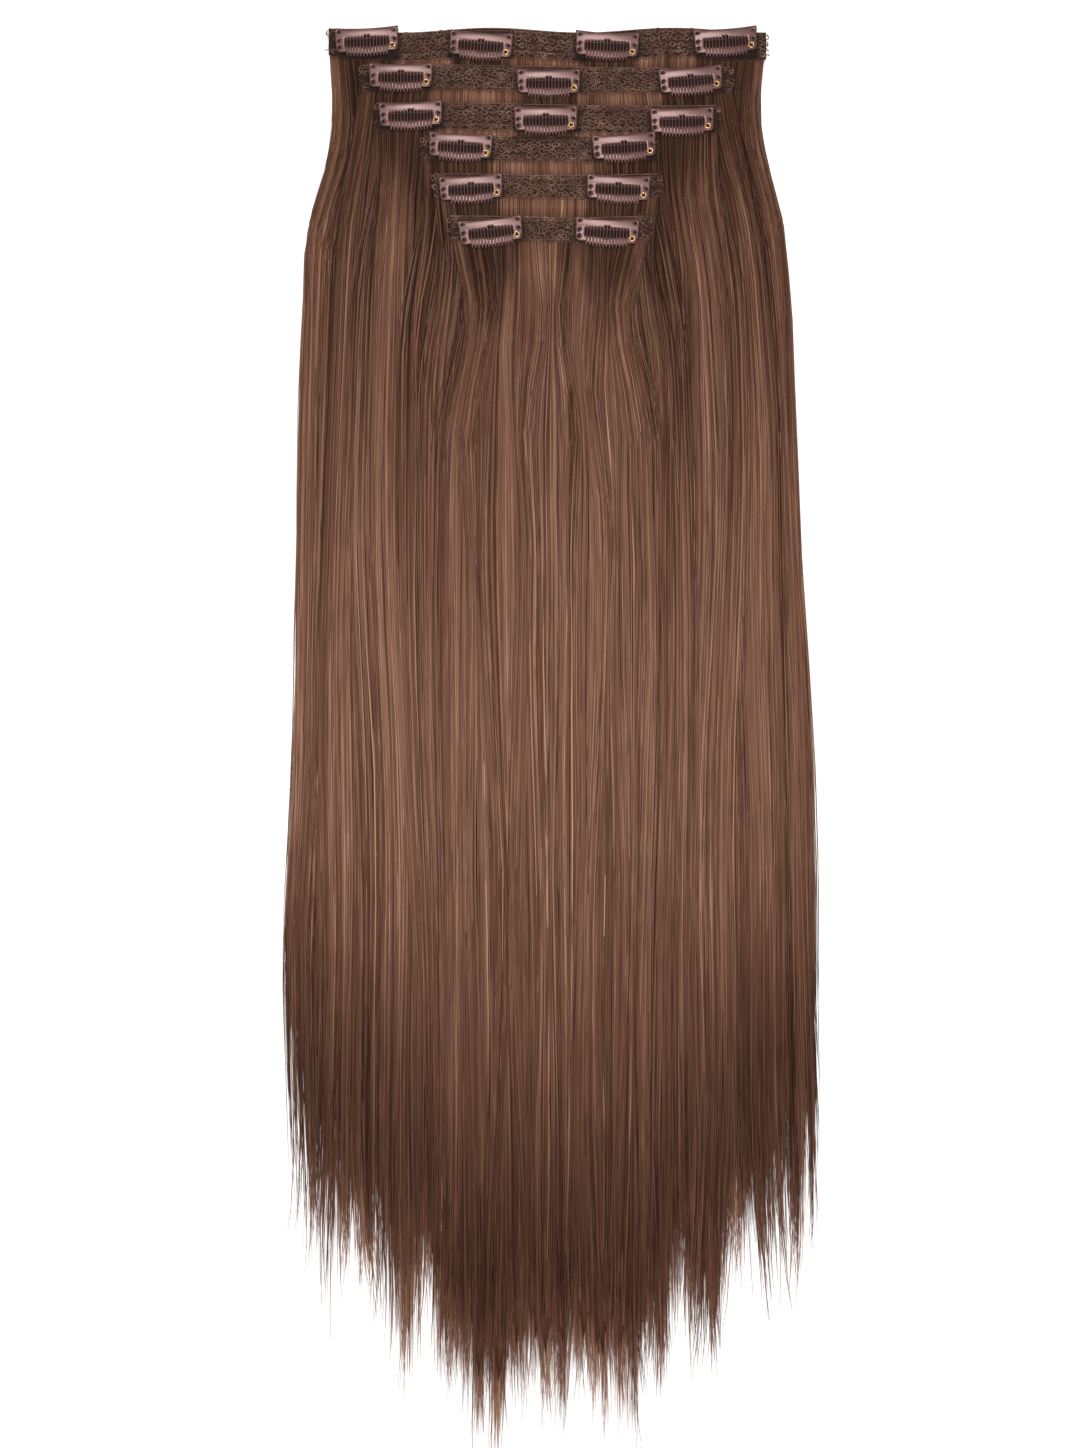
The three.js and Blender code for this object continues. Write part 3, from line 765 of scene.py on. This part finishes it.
def hair_strands(layer, material):
    rng = layer.rng
    width_mm = (layer.spread_right - layer.spread_left) / MM
    dense = 1.0
    count = round(width_mm * STRANDS_PER_MM * dense)
    u = (np.arange(count) + rng.uniform(0, 1, count)) / count
    hidden = covered(layer, u)
    open_u = u[~hidden]
    parts = [strand_set(layer, open_u, np.full(len(open_u), ROOT_INSET) + rng.uniform(0, 2 * MM, len(open_u)),
                        layer.ends(open_u), STRAND_PLACES)]
    under = u[hidden][::max(1, round(STRANDS_PER_MM / HIDDEN_PER_MM))]
    if len(under):
        parts.append(strand_set(layer, under, np.full(len(under), ROOT_INSET),
                                np.full(len(under), SHORT_LENGTH), SHORT_PLACES))
        ends = layer.ends(under)
        parts.append(strand_set(layer, under, ends - TIPS_LENGTH, ends, TIPS_PLACES))
    tones_with_painted_light = np.concatenate([part[2] for part in parts])
    points, quads = joined([part[:2] for part in parts])
    obj = mesh_object(f"{layer.name}_hair_strands", points, quads)
    add_attribute(obj, "shade", tones_with_painted_light)
    return finish_piece(obj, material)


def hair_strays(layer, material):
    """Loose single hairs that stand off the sides and the ends."""
    rng = np.random.default_rng(SEED + 50 + layer.index)
    count = layer.row["strays"]
    side = rng.integers(0, 2, count)
    u = np.where(side == 0, rng.uniform(0, 0.03, count), rng.uniform(0.97, 1, count))
    steps = 20
    start = rng.uniform(0.0, 1, count) ** 2 * 0.6 * HAIR_LENGTH
    length = rng.uniform(0.08, 0.3, count) * HAIR_LENGTH
    s = start[:, None] + length[:, None] * np.linspace(0, 1, steps)
    s = np.minimum(s, HAIR_LENGTH * 0.97)
    x, y, low, high = layer.place(np.broadcast_to(u[:, None], s.shape), s)
    out = np.where(side == 0, -1, 1)[:, None]
    bow = np.sin(np.pi * np.linspace(0, 1, steps)) * rng.uniform(0.3, 3, count)[:, None] * MM
    bow = bow * np.minimum(1, 0.12 * HAIR_LENGTH / length)[:, None]
    own = waves(rng, 3, 60, 6)
    x = x + out * bow + 0.8 * MM * own(np.broadcast_to(rng.uniform(0, 1, count)[:, None], s.shape), s)
    z = np.maximum(high - rng.uniform(0, 0.8, count)[:, None] * MM, 0.2 * MM)
    paths = np.stack([x, y, z], -1)
    radius = 0.07 * MM * (0.3 + 0.7 * np.sin(np.pi * np.linspace(0.04, 0.96, steps)))
    points, quads = tubes(paths, np.broadcast_to(radius, (count, steps)), 3)
    obj = mesh_object(f"{layer.name}_stray_hairs", points, quads)
    add_attribute(obj, "shade", np.full(len(points), 0.45))
    return finish_piece(obj, material)


# Lace bands
def band_line(layer, share):
    return layer.track(share) - layer.top


def lace_ground(layer, material, deep):
    """The band's thin net, with a wavy lower edge."""
    low, high = BANDS[layer.index]
    width = high.x - low.x
    share = np.linspace(0, 1, round(width / (1.0 * MM)) + 1)
    x = low.x + width * share
    top = layer.top + band_line(layer, share)
    scallop = np.abs(np.sin(np.pi * share * round(width / SCALLOP_PITCH)))
    bottom = top - 0.93 * deep - 0.7 * MM * scallop + 0.5 * MM * layer.ripple(share, share * 0)
    rows = np.linspace(0, 1, 8)[:, None]
    y = top + (bottom - top) * rows
    bulge = 0.12 * MM * np.sin(np.pi * rows) + 0.1 * MM * layer.ripple(np.broadcast_to(share, y.shape), y)
    upper = low.z + 0.72 * MM + bulge
    lower = np.full_like(y, low.z)
    many, wide = y.shape
    index = np.arange(many * wide).reshape(many, wide)
    a, b, c, d = index[:-1, :-1], index[:-1, 1:], index[1:, 1:], index[1:, :-1]
    count = many * wide
    xs = np.broadcast_to(x, y.shape)
    points = [np.stack([xs, y, height], -1).reshape(-1, 3) for height in (lower, upper)]
    quads = [np.stack([a, b, c, d], -1).reshape(-1, 4), np.stack([a, d, c, b], -1).reshape(-1, 4) + count]
    for line in (index[0], index[-1, ::-1], index[::-1, 0], index[:, -1]):
        one, two = line[:-1], line[1:]
        quads.append(np.stack([one, one + count, two + count, two], -1))
    sheet = mesh_object(f"{layer.name}_lace_ground", np.concatenate(points), np.concatenate(quads))
    return finish_piece(sheet, material, nodes=[f"{layer.name}_band"])


def scrolls(layer, deep, rng):
    """Curled threads on a loose lattice, left out below the clips."""
    low, high = BANDS[layer.index]
    surface = low.z + 0.84 * MM
    width = high.x - low.x
    rows = 4
    turn = np.linspace(0, 1, 13)
    curls, links = [], []
    for row in range(rows):
        for step in range(int(width / SCROLL_PITCH)):
            place = (step + 0.25 + 0.5 * (row % 2) + rng.uniform(-0.16, 0.16)) * SCROLL_PITCH
            across = place / width
            if not 0.008 < across < 0.992 or under_clip(layer, low.x + place):
                continue
            line = layer.top + band_line(layer, np.array(across))
            centre_y = line - deep * (row + 0.5) / rows * 0.93 + rng.uniform(-0.3, 0.3) * MM
            way = 1 if (row + step) % 2 else -1
            begin = rng.uniform(0, 2 * np.pi)
            angle = begin + way * turn * rng.uniform(5.2, 8.2)
            radius = (2.1 - 1.5 * turn) * rng.uniform(0.85, 1.1) * MM
            height = surface + 0.14 * MM * (1 + np.sin(3 * angle))
            curls.append(np.stack([low.x + place + radius * np.cos(angle),
                                   centre_y + 0.85 * radius * np.sin(angle), height], -1))
            reach = rng.uniform(1.6, 2.6) * MM
            lean = rng.uniform(-0.9, 0.9)
            run = (2 * turn - 1) * reach
            bow = 0.7 * MM * np.sin(2 * np.pi * turn) * way
            links.append(np.stack([low.x + place + SCROLL_PITCH / 2 + run * np.cos(lean) - bow * np.sin(lean),
                                   centre_y + run * np.sin(lean) + bow * np.cos(lean),
                                   np.full(13, surface + 0.05 * MM)], -1))
    return [tubes(np.array(curls), 0.28 * MM, 4, flat=0.8), tubes(np.array(links), 0.22 * MM, 4, flat=0.8)]


def border_cords(layer, deep):
    """Cords along the band's upper edge and its scalloped lower one."""
    low, high = BANDS[layer.index]
    surface = low.z + 0.86 * MM
    width = high.x - low.x
    edge = np.linspace(0.002, 0.998, round(width / (1.0 * MM)))
    x = low.x + width * edge
    top = layer.top + band_line(layer, edge)
    parts = []
    for inset, radius, wiggle in ((0.35, 0.27, 0.08), (1.5, 0.16, 0.3), (11.2, 0.17, 0.25)):
        wave = wiggle * MM * np.sin(edge * width / MM * 2.1 + inset)
        parts.append(tubes(np.stack([x, top - inset * MM + wave, np.full_like(edge, surface)], -1)[None],
                           radius * MM, 4))
    scallop = np.abs(np.sin(np.pi * edge * round(width / SCALLOP_PITCH)))
    uneven = 0.5 * MM * layer.ripple(edge, edge * 0)
    for lift, radius in ((0.9, 0.2), (0.0, 0.15)):
        line = top - deep + (lift + 0.5 - 1.3 * scallop) * MM + uneven
        parts.append(tubes(np.stack([x, line, np.full_like(edge, surface - 0.15 * MM)], -1)[None], radius * MM, 4))
    return parts


def loose_ends(layer, deep, rng):
    """Thread ends and a small curl at each end of the band."""
    low, high = BANDS[layer.index]
    t = np.linspace(0, 1, 9)
    ends, curls = [], []
    for side, edge in ((-1, low.x), (1, high.x)):
        top = layer.top + float(band_line(layer, np.array(0.0 if side < 0 else 1.0)))
        for _ in range(5):
            reach = rng.uniform(1.2, 3.4) * MM
            start = top - rng.uniform(0.1, 0.75) * deep
            drop = rng.uniform(-1.2, 1.8) * MM
            ends.append(np.stack([edge + side * reach * (t - 0.35), start - drop * t ** 2,
                                  low.z + 1.0 * MM - 0.9 * MM * t], -1))
        angle = np.linspace(0, 5.4, 22) * side
        radius = np.linspace(1.1, 0.5, 22) * MM
        curls.append(np.stack([edge + side * 0.2 * MM + radius * np.sin(angle),
                               top - 2.6 * MM + 1.3 * radius * np.cos(angle), np.full(22, low.z + 0.95 * MM)], -1))
    return [tubes(np.array(ends), 0.12 * MM, 4), tubes(np.array(curls), 0.26 * MM, 6)]


def lace_band(layer, ground, thread):
    low, high = BANDS[layer.index]
    rng = np.random.default_rng(SEED + 100 + layer.index)
    deep = high.y - low.y - 2 * MM
    sheet = lace_ground(layer, ground, deep)
    parts = scrolls(layer, deep, rng) + border_cords(layer, deep) + loose_ends(layer, deep, rng)
    threads = mesh_object(f"{layer.name}_lace_threads", *joined(parts))
    finish_piece(threads, thread)
    # painted clip shade, kept in the lace's shaded attribute
    shade_lace(sheet)
    shade_lace(threads)


def clip_shade(points):
    """How deep a point lies in the shade of a clip, from 0 to 1."""
    deepest = np.zeros(len(points))
    for joint in CLIPS.values():
        across = np.array([-joint["axis"][0], -joint["axis"][1]])
        across = across / np.linalg.norm(across)
        up = np.array([-across[1], across[0]])
        origin = np.array(joint["pos_m"][:2]) + up * HINGE_DROP * MM
        offset = points[:, :2] - origin
        x = np.abs(offset @ across) - (CLIP_WIDTH / 2 - 1) * MM
        y = np.abs(offset @ up + 9.6 * MM) - 6.2 * MM
        away = np.hypot(np.maximum(x, 0), np.maximum(y, 0))
        deepest = np.maximum(deepest, np.exp(-(away / (2.2 * MM)) ** 2))
    return deepest


def shade_lace(obj):
    points = np.zeros(len(obj.data.vertices) * 3)
    obj.data.vertices.foreach_get("co", points)
    add_attribute(obj, "shaded", clip_shade(points.reshape(-1, 3)))


def under_clip(layer, x):
    return any(name.startswith(layer.name) and abs(joint["pos_m"][0] - x) < 14.8 * MM
               for name, joint in CLIPS.items())


# Snap clips
def arc_points(start, control, end, steps):
    t = np.linspace(0, 1, steps, endpoint=False)[:, None]
    return (1 - t) ** 2 * np.array(start) + 2 * t * (1 - t) * np.array(control) + t * t * np.array(end)


def plate_loops():
    """The plate's outline and its holes, in millimetres, each counter-clockwise."""
    half = CLIP_WIDTH / 2
    side = half - SIDE_LEAN
    toothed = TOOTHED_WIDTH / 2
    edge = TOP_BAND + WINDOW_HEIGHT + LOWER_BAR
    corner = 0.5
    left = np.concatenate([
        arc_points((-half + corner, 0), (-half, 0), (-half + 0.05, -corner), 4),
        arc_points((-half + 0.05, -corner), (-half + 0.2, -4), (-side, -(EAR_HEIGHT - EAR_CORNER)), 10),
        arc_points((-side, -(EAR_HEIGHT - EAR_CORNER)), (-side, -EAR_HEIGHT), (-(side - EAR_CORNER), -EAR_HEIGHT), 8),
        arc_points((-(side - EAR_CORNER), -EAR_HEIGHT), (-12, -EAR_HEIGHT), (-toothed - 0.2, -EAR_HEIGHT), 5),
        arc_points((-toothed - 0.2, -EAR_HEIGHT), (-toothed, -EAR_HEIGHT), (-toothed, -(edge - TOOTH_BOW)), 4),
    ])
    bottom = arc_points((-toothed, -(edge - TOOTH_BOW)), (0, -(edge + TOOTH_BOW)), (toothed, -(edge - TOOTH_BOW)), 40)
    top = arc_points((half - corner, 0), (0, -2 * TOP_SAG), (-half + corner, 0), 48)
    right = left[::-1] * [-1, 1]
    outline = np.concatenate([left, bottom, right, top[1:]])
    scallops = []
    start = WINDOW_WIDTH / 2
    teeth = [TOOTHED_WIDTH / 2 - 0.4 - tooth * TOOTH_PITCH for tooth in range(TOOTH_COUNT)]
    for begin, end in zip([start] + teeth, teeth + [-start]):
        middle = (begin + end) / 2
        peak = WINDOW_TOP - SLOT_DROP * (middle / start) ** 2 + ARCH_RISE * max(0, 1 - abs(middle) / (ARCH_WIDTH / 2))
        wide = (begin - end) / 2 - SPIKE_WIDTH / 2
        low = -TOP_BAND - SPIKE_DROP
        left, right = middle - wide, middle + wide
        turn = np.linspace(0, np.pi, 7)
        arch = np.stack([middle + wide * np.cos(turn), peak - wide + wide * np.sin(turn)], 1)
        scallops.append(np.array([(right, low)]))
        scallops.append(arch)
        scallops.append(np.array([(left, low)]))
    drop = TOP_BAND + WINDOW_HEIGHT
    window = np.concatenate([
        *scallops,
        arc_points((-start, -7), (-start, -8), (-start + 0.1, -(drop - VISIBLE_BOW)), 6),
        arc_points((-start + 0.1, -(drop - VISIBLE_BOW)), (0, -(drop + VISIBLE_BOW)),
                   (start - 0.1, -(drop - VISIBLE_BOW)), 40),
        arc_points((start - 0.1, -(drop - VISIBLE_BOW)), (start, -8), (start, -7), 6),
        np.array([(start, -7)]),
    ])
    turn = np.linspace(0, 2 * np.pi, 14, endpoint=False)[:, None]
    circle = np.concatenate([np.cos(turn), np.sin(turn)], 1)
    holes = [window]
    for ear, down in SEWING_HOLES:
        stretch = np.array([1.0, 1.25]) if down > 0.7 else np.array([1.0, 1.0])
        holes.append(circle * stretch * SEWING_HOLE / 2 + [ear * (half - SEWING_INSET), -down * EAR_HEIGHT])
    holes.append(circle * EYELET_BORE / 2 + [half - EYELET_INSET, -EYELET_DOWN * EAR_HEIGHT])
    return outline, holes


def inset_loop(loop, distance):
    """The loop moved to its left, which is inwards for a counter-clockwise one."""
    before = loop - np.roll(loop, 1, 0)
    after = np.roll(loop, -1, 0) - loop
    along = before / np.linalg.norm(before, axis=1, keepdims=True) + after / np.linalg.norm(after, axis=1,
                                                                                            keepdims=True)
    along /= np.linalg.norm(along, axis=1, keepdims=True)
    return loop + np.stack([-along[:, 1], along[:, 0]], 1) * distance


def signed_area(loop):
    x, y = loop[:, 0], loop[:, 1]
    return 0.5 * np.sum(x * np.roll(y, -1) - y * np.roll(x, -1))


def plate_mesh():
    """The domed plate with rounded edges: points in millimetres, and triangles."""
    outline, holes = plate_loops()
    if signed_area(outline) < 0:
        outline = outline[::-1]
    loops = [outline] + [hole if signed_area(hole) < 0 else hole[::-1] for hole in holes]
    profile = [(EDGE_ROUND, 0), (0, EDGE_ROUND), (0, SHEET - EDGE_ROUND), (EDGE_ROUND, SHEET)]
    inner = [inset_loop(loop, EDGE_ROUND) for loop in loops]
    boundary = np.concatenate(inner)
    edges, start = [], 0
    for loop in inner:
        count = len(loop)
        edges += [(start + i, start + (i + 1) % count) for i in range(count)]
        start += count
    grid = np.stack(np.meshgrid(np.arange(-15, 15.1, 1.0), np.arange(-13, 0, 0.8)), -1).reshape(-1, 2)
    clear = np.min(np.linalg.norm(grid[:, None] - boundary[None], axis=2), axis=1) > 0.45
    seeds = np.concatenate([boundary, grid[clear]])
    flat, _, faces, origin, _, _ = delaunay_2d_cdt([Vector(p) for p in seeds], edges, [], 0, 1e-5)
    flat = np.array([tuple(p) for p in flat])
    kept = []
    for face in faces:
        centre = flat[list(face)].mean(0)
        if inside(centre, inner[0]) and not any(inside(centre, hole) for hole in inner[1:]):
            kept.append(tuple(face))
    order = {origin[i][0]: i for i in range(len(origin)) if origin[i]}
    points = [np.concatenate([flat, np.zeros((len(flat), 1))], 1), np.concatenate([flat, np.full((len(flat), 1), SHEET)], 1)]
    count = len(flat)
    triangles = []
    for face in kept:
        a, b, c = face
        area = np.cross(np.append(flat[b] - flat[a], 0), np.append(flat[c] - flat[a], 0))[2]
        if area < 0:
            b, c = c, b
        triangles += [(a, c, b), (a + count, b + count, c + count)]
    total = 2 * count
    start = 0
    for loop in loops:
        size = len(loop)
        rings = [[order[start + i] for i in range(size)]]
        for offset, height in profile[1:-1]:
            ring = inset_loop(loop, offset) if offset else loop
            points.append(np.concatenate([ring, np.full((size, 1), height)], 1))
            rings.append(list(range(total, total + size)))
            total += size
        rings.append([order[start + i] + count for i in range(size)])
        for low, high in zip(rings[:-1], rings[1:]):
            for i in range(size):
                j = (i + 1) % size
                triangles += [(low[i], low[j], high[j]), (low[i], high[j], high[i])]
        start += size
    points = np.concatenate(points)
    points[:, 2] += dome_at(points[:, 0])
    points[:, 2] += BAND_DOME * np.clip(1 - ((points[:, 1] + TOP_BAND / 2) / (TOP_BAND / 2)) ** 2, 0, 1)
    return points, np.array(triangles)


def inside(point, loop):
    x, y = point
    x0, y0 = loop[:, 0], loop[:, 1]
    x1, y1 = np.roll(x0, -1), np.roll(y0, -1)
    crossing = (y0 > y) != (y1 > y)
    at = x0 + (y - y0) / np.where(y1 == y0, 1e-12, y1 - y0) * (x1 - x0)
    return bool(np.sum(crossing & (at > x)) % 2)


def dome_at(x):
    return PLATE_DOME * (1 - (x / (CLIP_WIDTH / 2)) ** 2)


def comb_mesh():
    """The toothed bar: a slim spine and thirteen bent teeth with rounded tips, in millimetres."""
    spine_x = np.linspace(-WINDOW_WIDTH / 2 + CLEARANCE, WINDOW_WIDTH / 2 - CLEARANCE, 14)
    spine = np.stack([spine_x, np.full(14, -HINGE_DROP), 0.6 * dome_at(spine_x) - 0.1], -1)
    parts = [tubes(spine[None], 0.14, 6)]
    overall = TOP_BAND + WINDOW_HEIGHT + LOWER_BAR + TOOTH_REACH
    paths, widths = [], []
    for tooth in range(TOOTH_COUNT):
        x = -TOOTHED_WIDTH / 2 + 0.4 + tooth * TOOTH_PITCH
        bowed_up = (2 * x / TOOTHED_WIDTH) ** 2
        bend = TOP_BAND + WINDOW_HEIGHT - VISIBLE_BOW * bowed_up
        tip = overall - TOOTH_BOW * bowed_up
        over = SHEET + 0.22
        rise = dome_at(x)
        places = [(HINGE_DROP, -0.35), (HINGE_DROP + 0.7, -0.05), (bend - 1.2, 0.5), (bend - 0.4, over - 0.1),
                  (bend + 0.4, over), (bend + 1.8, over), (tip - 1.6, over), (tip - 0.9, over + 0.05),
                  (tip - 0.35, over + 0.17), (tip, over + 0.26)]
        paths.append([(x, -down, height + rise) for down, height in places])
        widths.append([0.24, 0.26, 0.26, 0.36, 0.62, 0.64, 0.6, 0.46, 0.3, 0.1])
    points, quads = tubes(np.array(paths), np.array(widths), 6, flat=0.32)
    parts.append((points, quads))
    return joined(parts)


def eyelet_mesh():
    """A rolled brass ring that sits on the ear, in millimetres."""
    inner, outer = VISIBLE_BORE / 2, EYELET_OUTER / 2
    middle = (inner + outer) / 2
    reach = (outer - inner) / 2
    turn = np.linspace(0, 2 * np.pi, 10, endpoint=False)
    around = np.linspace(0, 2 * np.pi, 24, endpoint=False)
    radius = middle + reach * np.cos(turn)
    height = SHEET + CLEARANCE + EYELET_HEIGHT / 2 + EYELET_HEIGHT / 2 * np.sin(turn)
    x = CLIP_WIDTH / 2 - EYELET_INSET
    y = -EYELET_DOWN * EAR_HEIGHT
    a, t = np.meshgrid(around, np.arange(10), indexing="ij")
    points = np.stack([x + radius[t] * np.cos(a), y + radius[t] * np.sin(a), height[t]], -1).reshape(-1, 3)
    i, k = np.meshgrid(np.arange(24), np.arange(10), indexing="ij")
    quads = np.stack([i * 10 + k, (i + 1) % 24 * 10 + k, (i + 1) % 24 * 10 + (k + 1) % 10, i * 10 + (k + 1) % 10], -1)
    return points, quads.reshape(-1, 4)


def stitch_mesh(rng):
    """Sewing thread: a knot in each hole, and a stitch from it over the plate's side, in millimetres."""
    stitches, knots = [], []
    half = CLIP_WIDTH / 2
    t = np.linspace(0, 1, 10)
    for ear, down in SEWING_HOLES:
        hole_x = ear * (half - SEWING_INSET)
        y = -down * EAR_HEIGHT
        out = ear * (half + rng.uniform(0.2, 0.6))
        end_y = y + rng.uniform(-0.9, 0.9)
        top = SHEET + 0.2
        x = np.array([hole_x, hole_x + ear * 0.3, hole_x + ear * 0.9, ear * (half - 0.3), out, out])
        z = np.array([0.15, top * 0.8, top, top * 0.95, 0.3, -0.35])
        stitches.append(np.stack([x, np.linspace(y, end_y, 6), z], -1))
        turn = t * 11 + rng.uniform(0, 6)
        knots.append(np.stack([hole_x + 0.5 * np.cos(turn) * (1 - 0.5 * t), y + 0.55 * np.sin(turn) * (1 - 0.5 * t),
                               0.02 + 0.12 * np.sin(3 * turn)], -1))
    eyelet_x = half - EYELET_INSET
    eyelet_y = -EYELET_DOWN * EAR_HEIGHT
    turn = t * 12
    knots.append(np.stack([eyelet_x + 0.55 * np.cos(turn) * (1 - 0.7 * t), eyelet_y + 0.55 * np.sin(turn) * (1 - 0.7 * t),
                           0.3 + 0.05 * np.sin(3 * turn)], -1))
    return joined([tubes(np.array(stitches), 0.13, 5), tubes(np.array(knots), 0.26, 5)])


def clip_matrix(joint):
    """From a clip's own frame, in millimetres, to the row frame."""
    ax, ay, _ = joint["axis"]
    across = Vector((-ax, -ay, 0)).normalized()
    up = Vector((-across.y, across.x, 0))
    hinge = Vector(joint["pos_m"])
    origin = hinge + up * HINGE_DROP * MM - Vector((0, 0, SHEET * MM))
    matrix = Matrix.Identity(4)
    for row in range(3):
        matrix[row][0] = across[row] * MM
        matrix[row][1] = up[row] * MM
        matrix[row][2] = (0, 0, MM)[row]
        matrix[row][3] = origin[row]
    return np.array(matrix)


def placed(points, matrix):
    return points @ matrix[:3, :3].T + matrix[:3, 3]


def build_clips(paint, brass, sewing):
    plate_points, plate_faces = plate_mesh()
    comb_points, comb_faces = comb_mesh()
    ring_points, ring_faces = eyelet_mesh()
    rng = np.random.default_rng(SEED + 200)
    for name, joint in CLIPS.items():
        matrix = clip_matrix(joint)
        plate = mesh_object(f"{name}_plate", placed(plate_points, matrix), plate_faces)
        plate.data.set_sharp_from_angle(angle=math.radians(50))
        finish_piece(plate, paint, nodes=[f"{name}_frame"])
        comb = mesh_object(f"{name}_teeth", placed(comb_points, matrix), comb_faces)
        finish_piece(comb, paint, body=joint["child"], nodes=[f"{name}_comb"])
        ring = mesh_object(f"{name}_ring", placed(ring_points, matrix), ring_faces)
        finish_piece(ring, brass, nodes=[f"{name}_eyelet"])
        points, quads = stitch_mesh(rng)
        stitches = mesh_object(f"{name}_stitches", placed(points, matrix), quads)
        finish_piece(stitches, sewing)


# Camera, lights and floor
def set_camera():
    data = bpy.data.cameras.new("camera")
    data.lens = LENS_MM
    data.sensor_fit = "VERTICAL"
    data.sensor_height = SENSOR_MM
    data.clip_end = 20
    camera = bpy.data.objects.new("camera", data)
    bpy.context.scene.collection.objects.link(camera)
    x = (IMAGE_WIDTH_PX / 2 - BOX_MIDDLE_PX) * MM_PER_PX * MM
    y = BANDS[0][1].y - (IMAGE_HEIGHT_PX / 2 - TRACK_TOP_PX) * MM_PER_PX * MM
    seen = IMAGE_HEIGHT_PX * MM_PER_PX * MM
    camera.location = (x, y, seen / SENSOR_MM * LENS_MM + 8 * MM)
    bpy.context.scene.camera = camera


def add_light(name, place, target, size, power):
    data = bpy.data.lights.new(name, "AREA")
    data.shape = "RECTANGLE"
    data.size, data.size_y = size
    data.energy = power
    light = bpy.data.objects.new(name, data)
    bpy.context.scene.collection.objects.link(light)
    light.location = place
    light.rotation_euler = (Vector(target) - Vector(place)).to_track_quat("-Z", "Y").to_euler()


def set_stage():
    scene = bpy.context.scene
    scene.view_settings.view_transform = "Standard"
    scene.view_settings.look = "None"
    world = bpy.data.worlds.new("soft_white")
    scene.world = world
    world.use_nodes = True
    world.node_tree.nodes["Background"].inputs["Color"].default_value = (1, 1, 1, 1)
    world.node_tree.nodes["Background"].inputs["Strength"].default_value = 0.28
    size = 6
    floor = mesh_object("floor", [(-size, -size, 0), (size, -size, 0), (size, size, 0), (-size, size, 0)],
                        [(0, 1, 2, 3)], smooth=False)
    floor.location.z = -0.1 * MM
    floor.data.materials.append(floor_material())
    add_light("key", (-0.13, 0.55, 2.2), (0, 0.1, 0), (0.46, 0.26), 27)
    add_light("overhead", (0.08, 0.0, 2.1), (0, 0, 0), (0.5, 0.3), 26)


LAYERS = [Layer(index) for index in range(6)]
strand = hair_material()
mass = mass_material()
ground = ground_material()
thread = lace_material()
for layer in LAYERS:
    hair_mass(layer, mass)
    hair_strands(layer, strand)
    hair_strays(layer, strand)
    lace_band(layer, ground, thread)
build_clips(paint_material(), brass_material(), sewing_material())
set_camera()
set_stage()
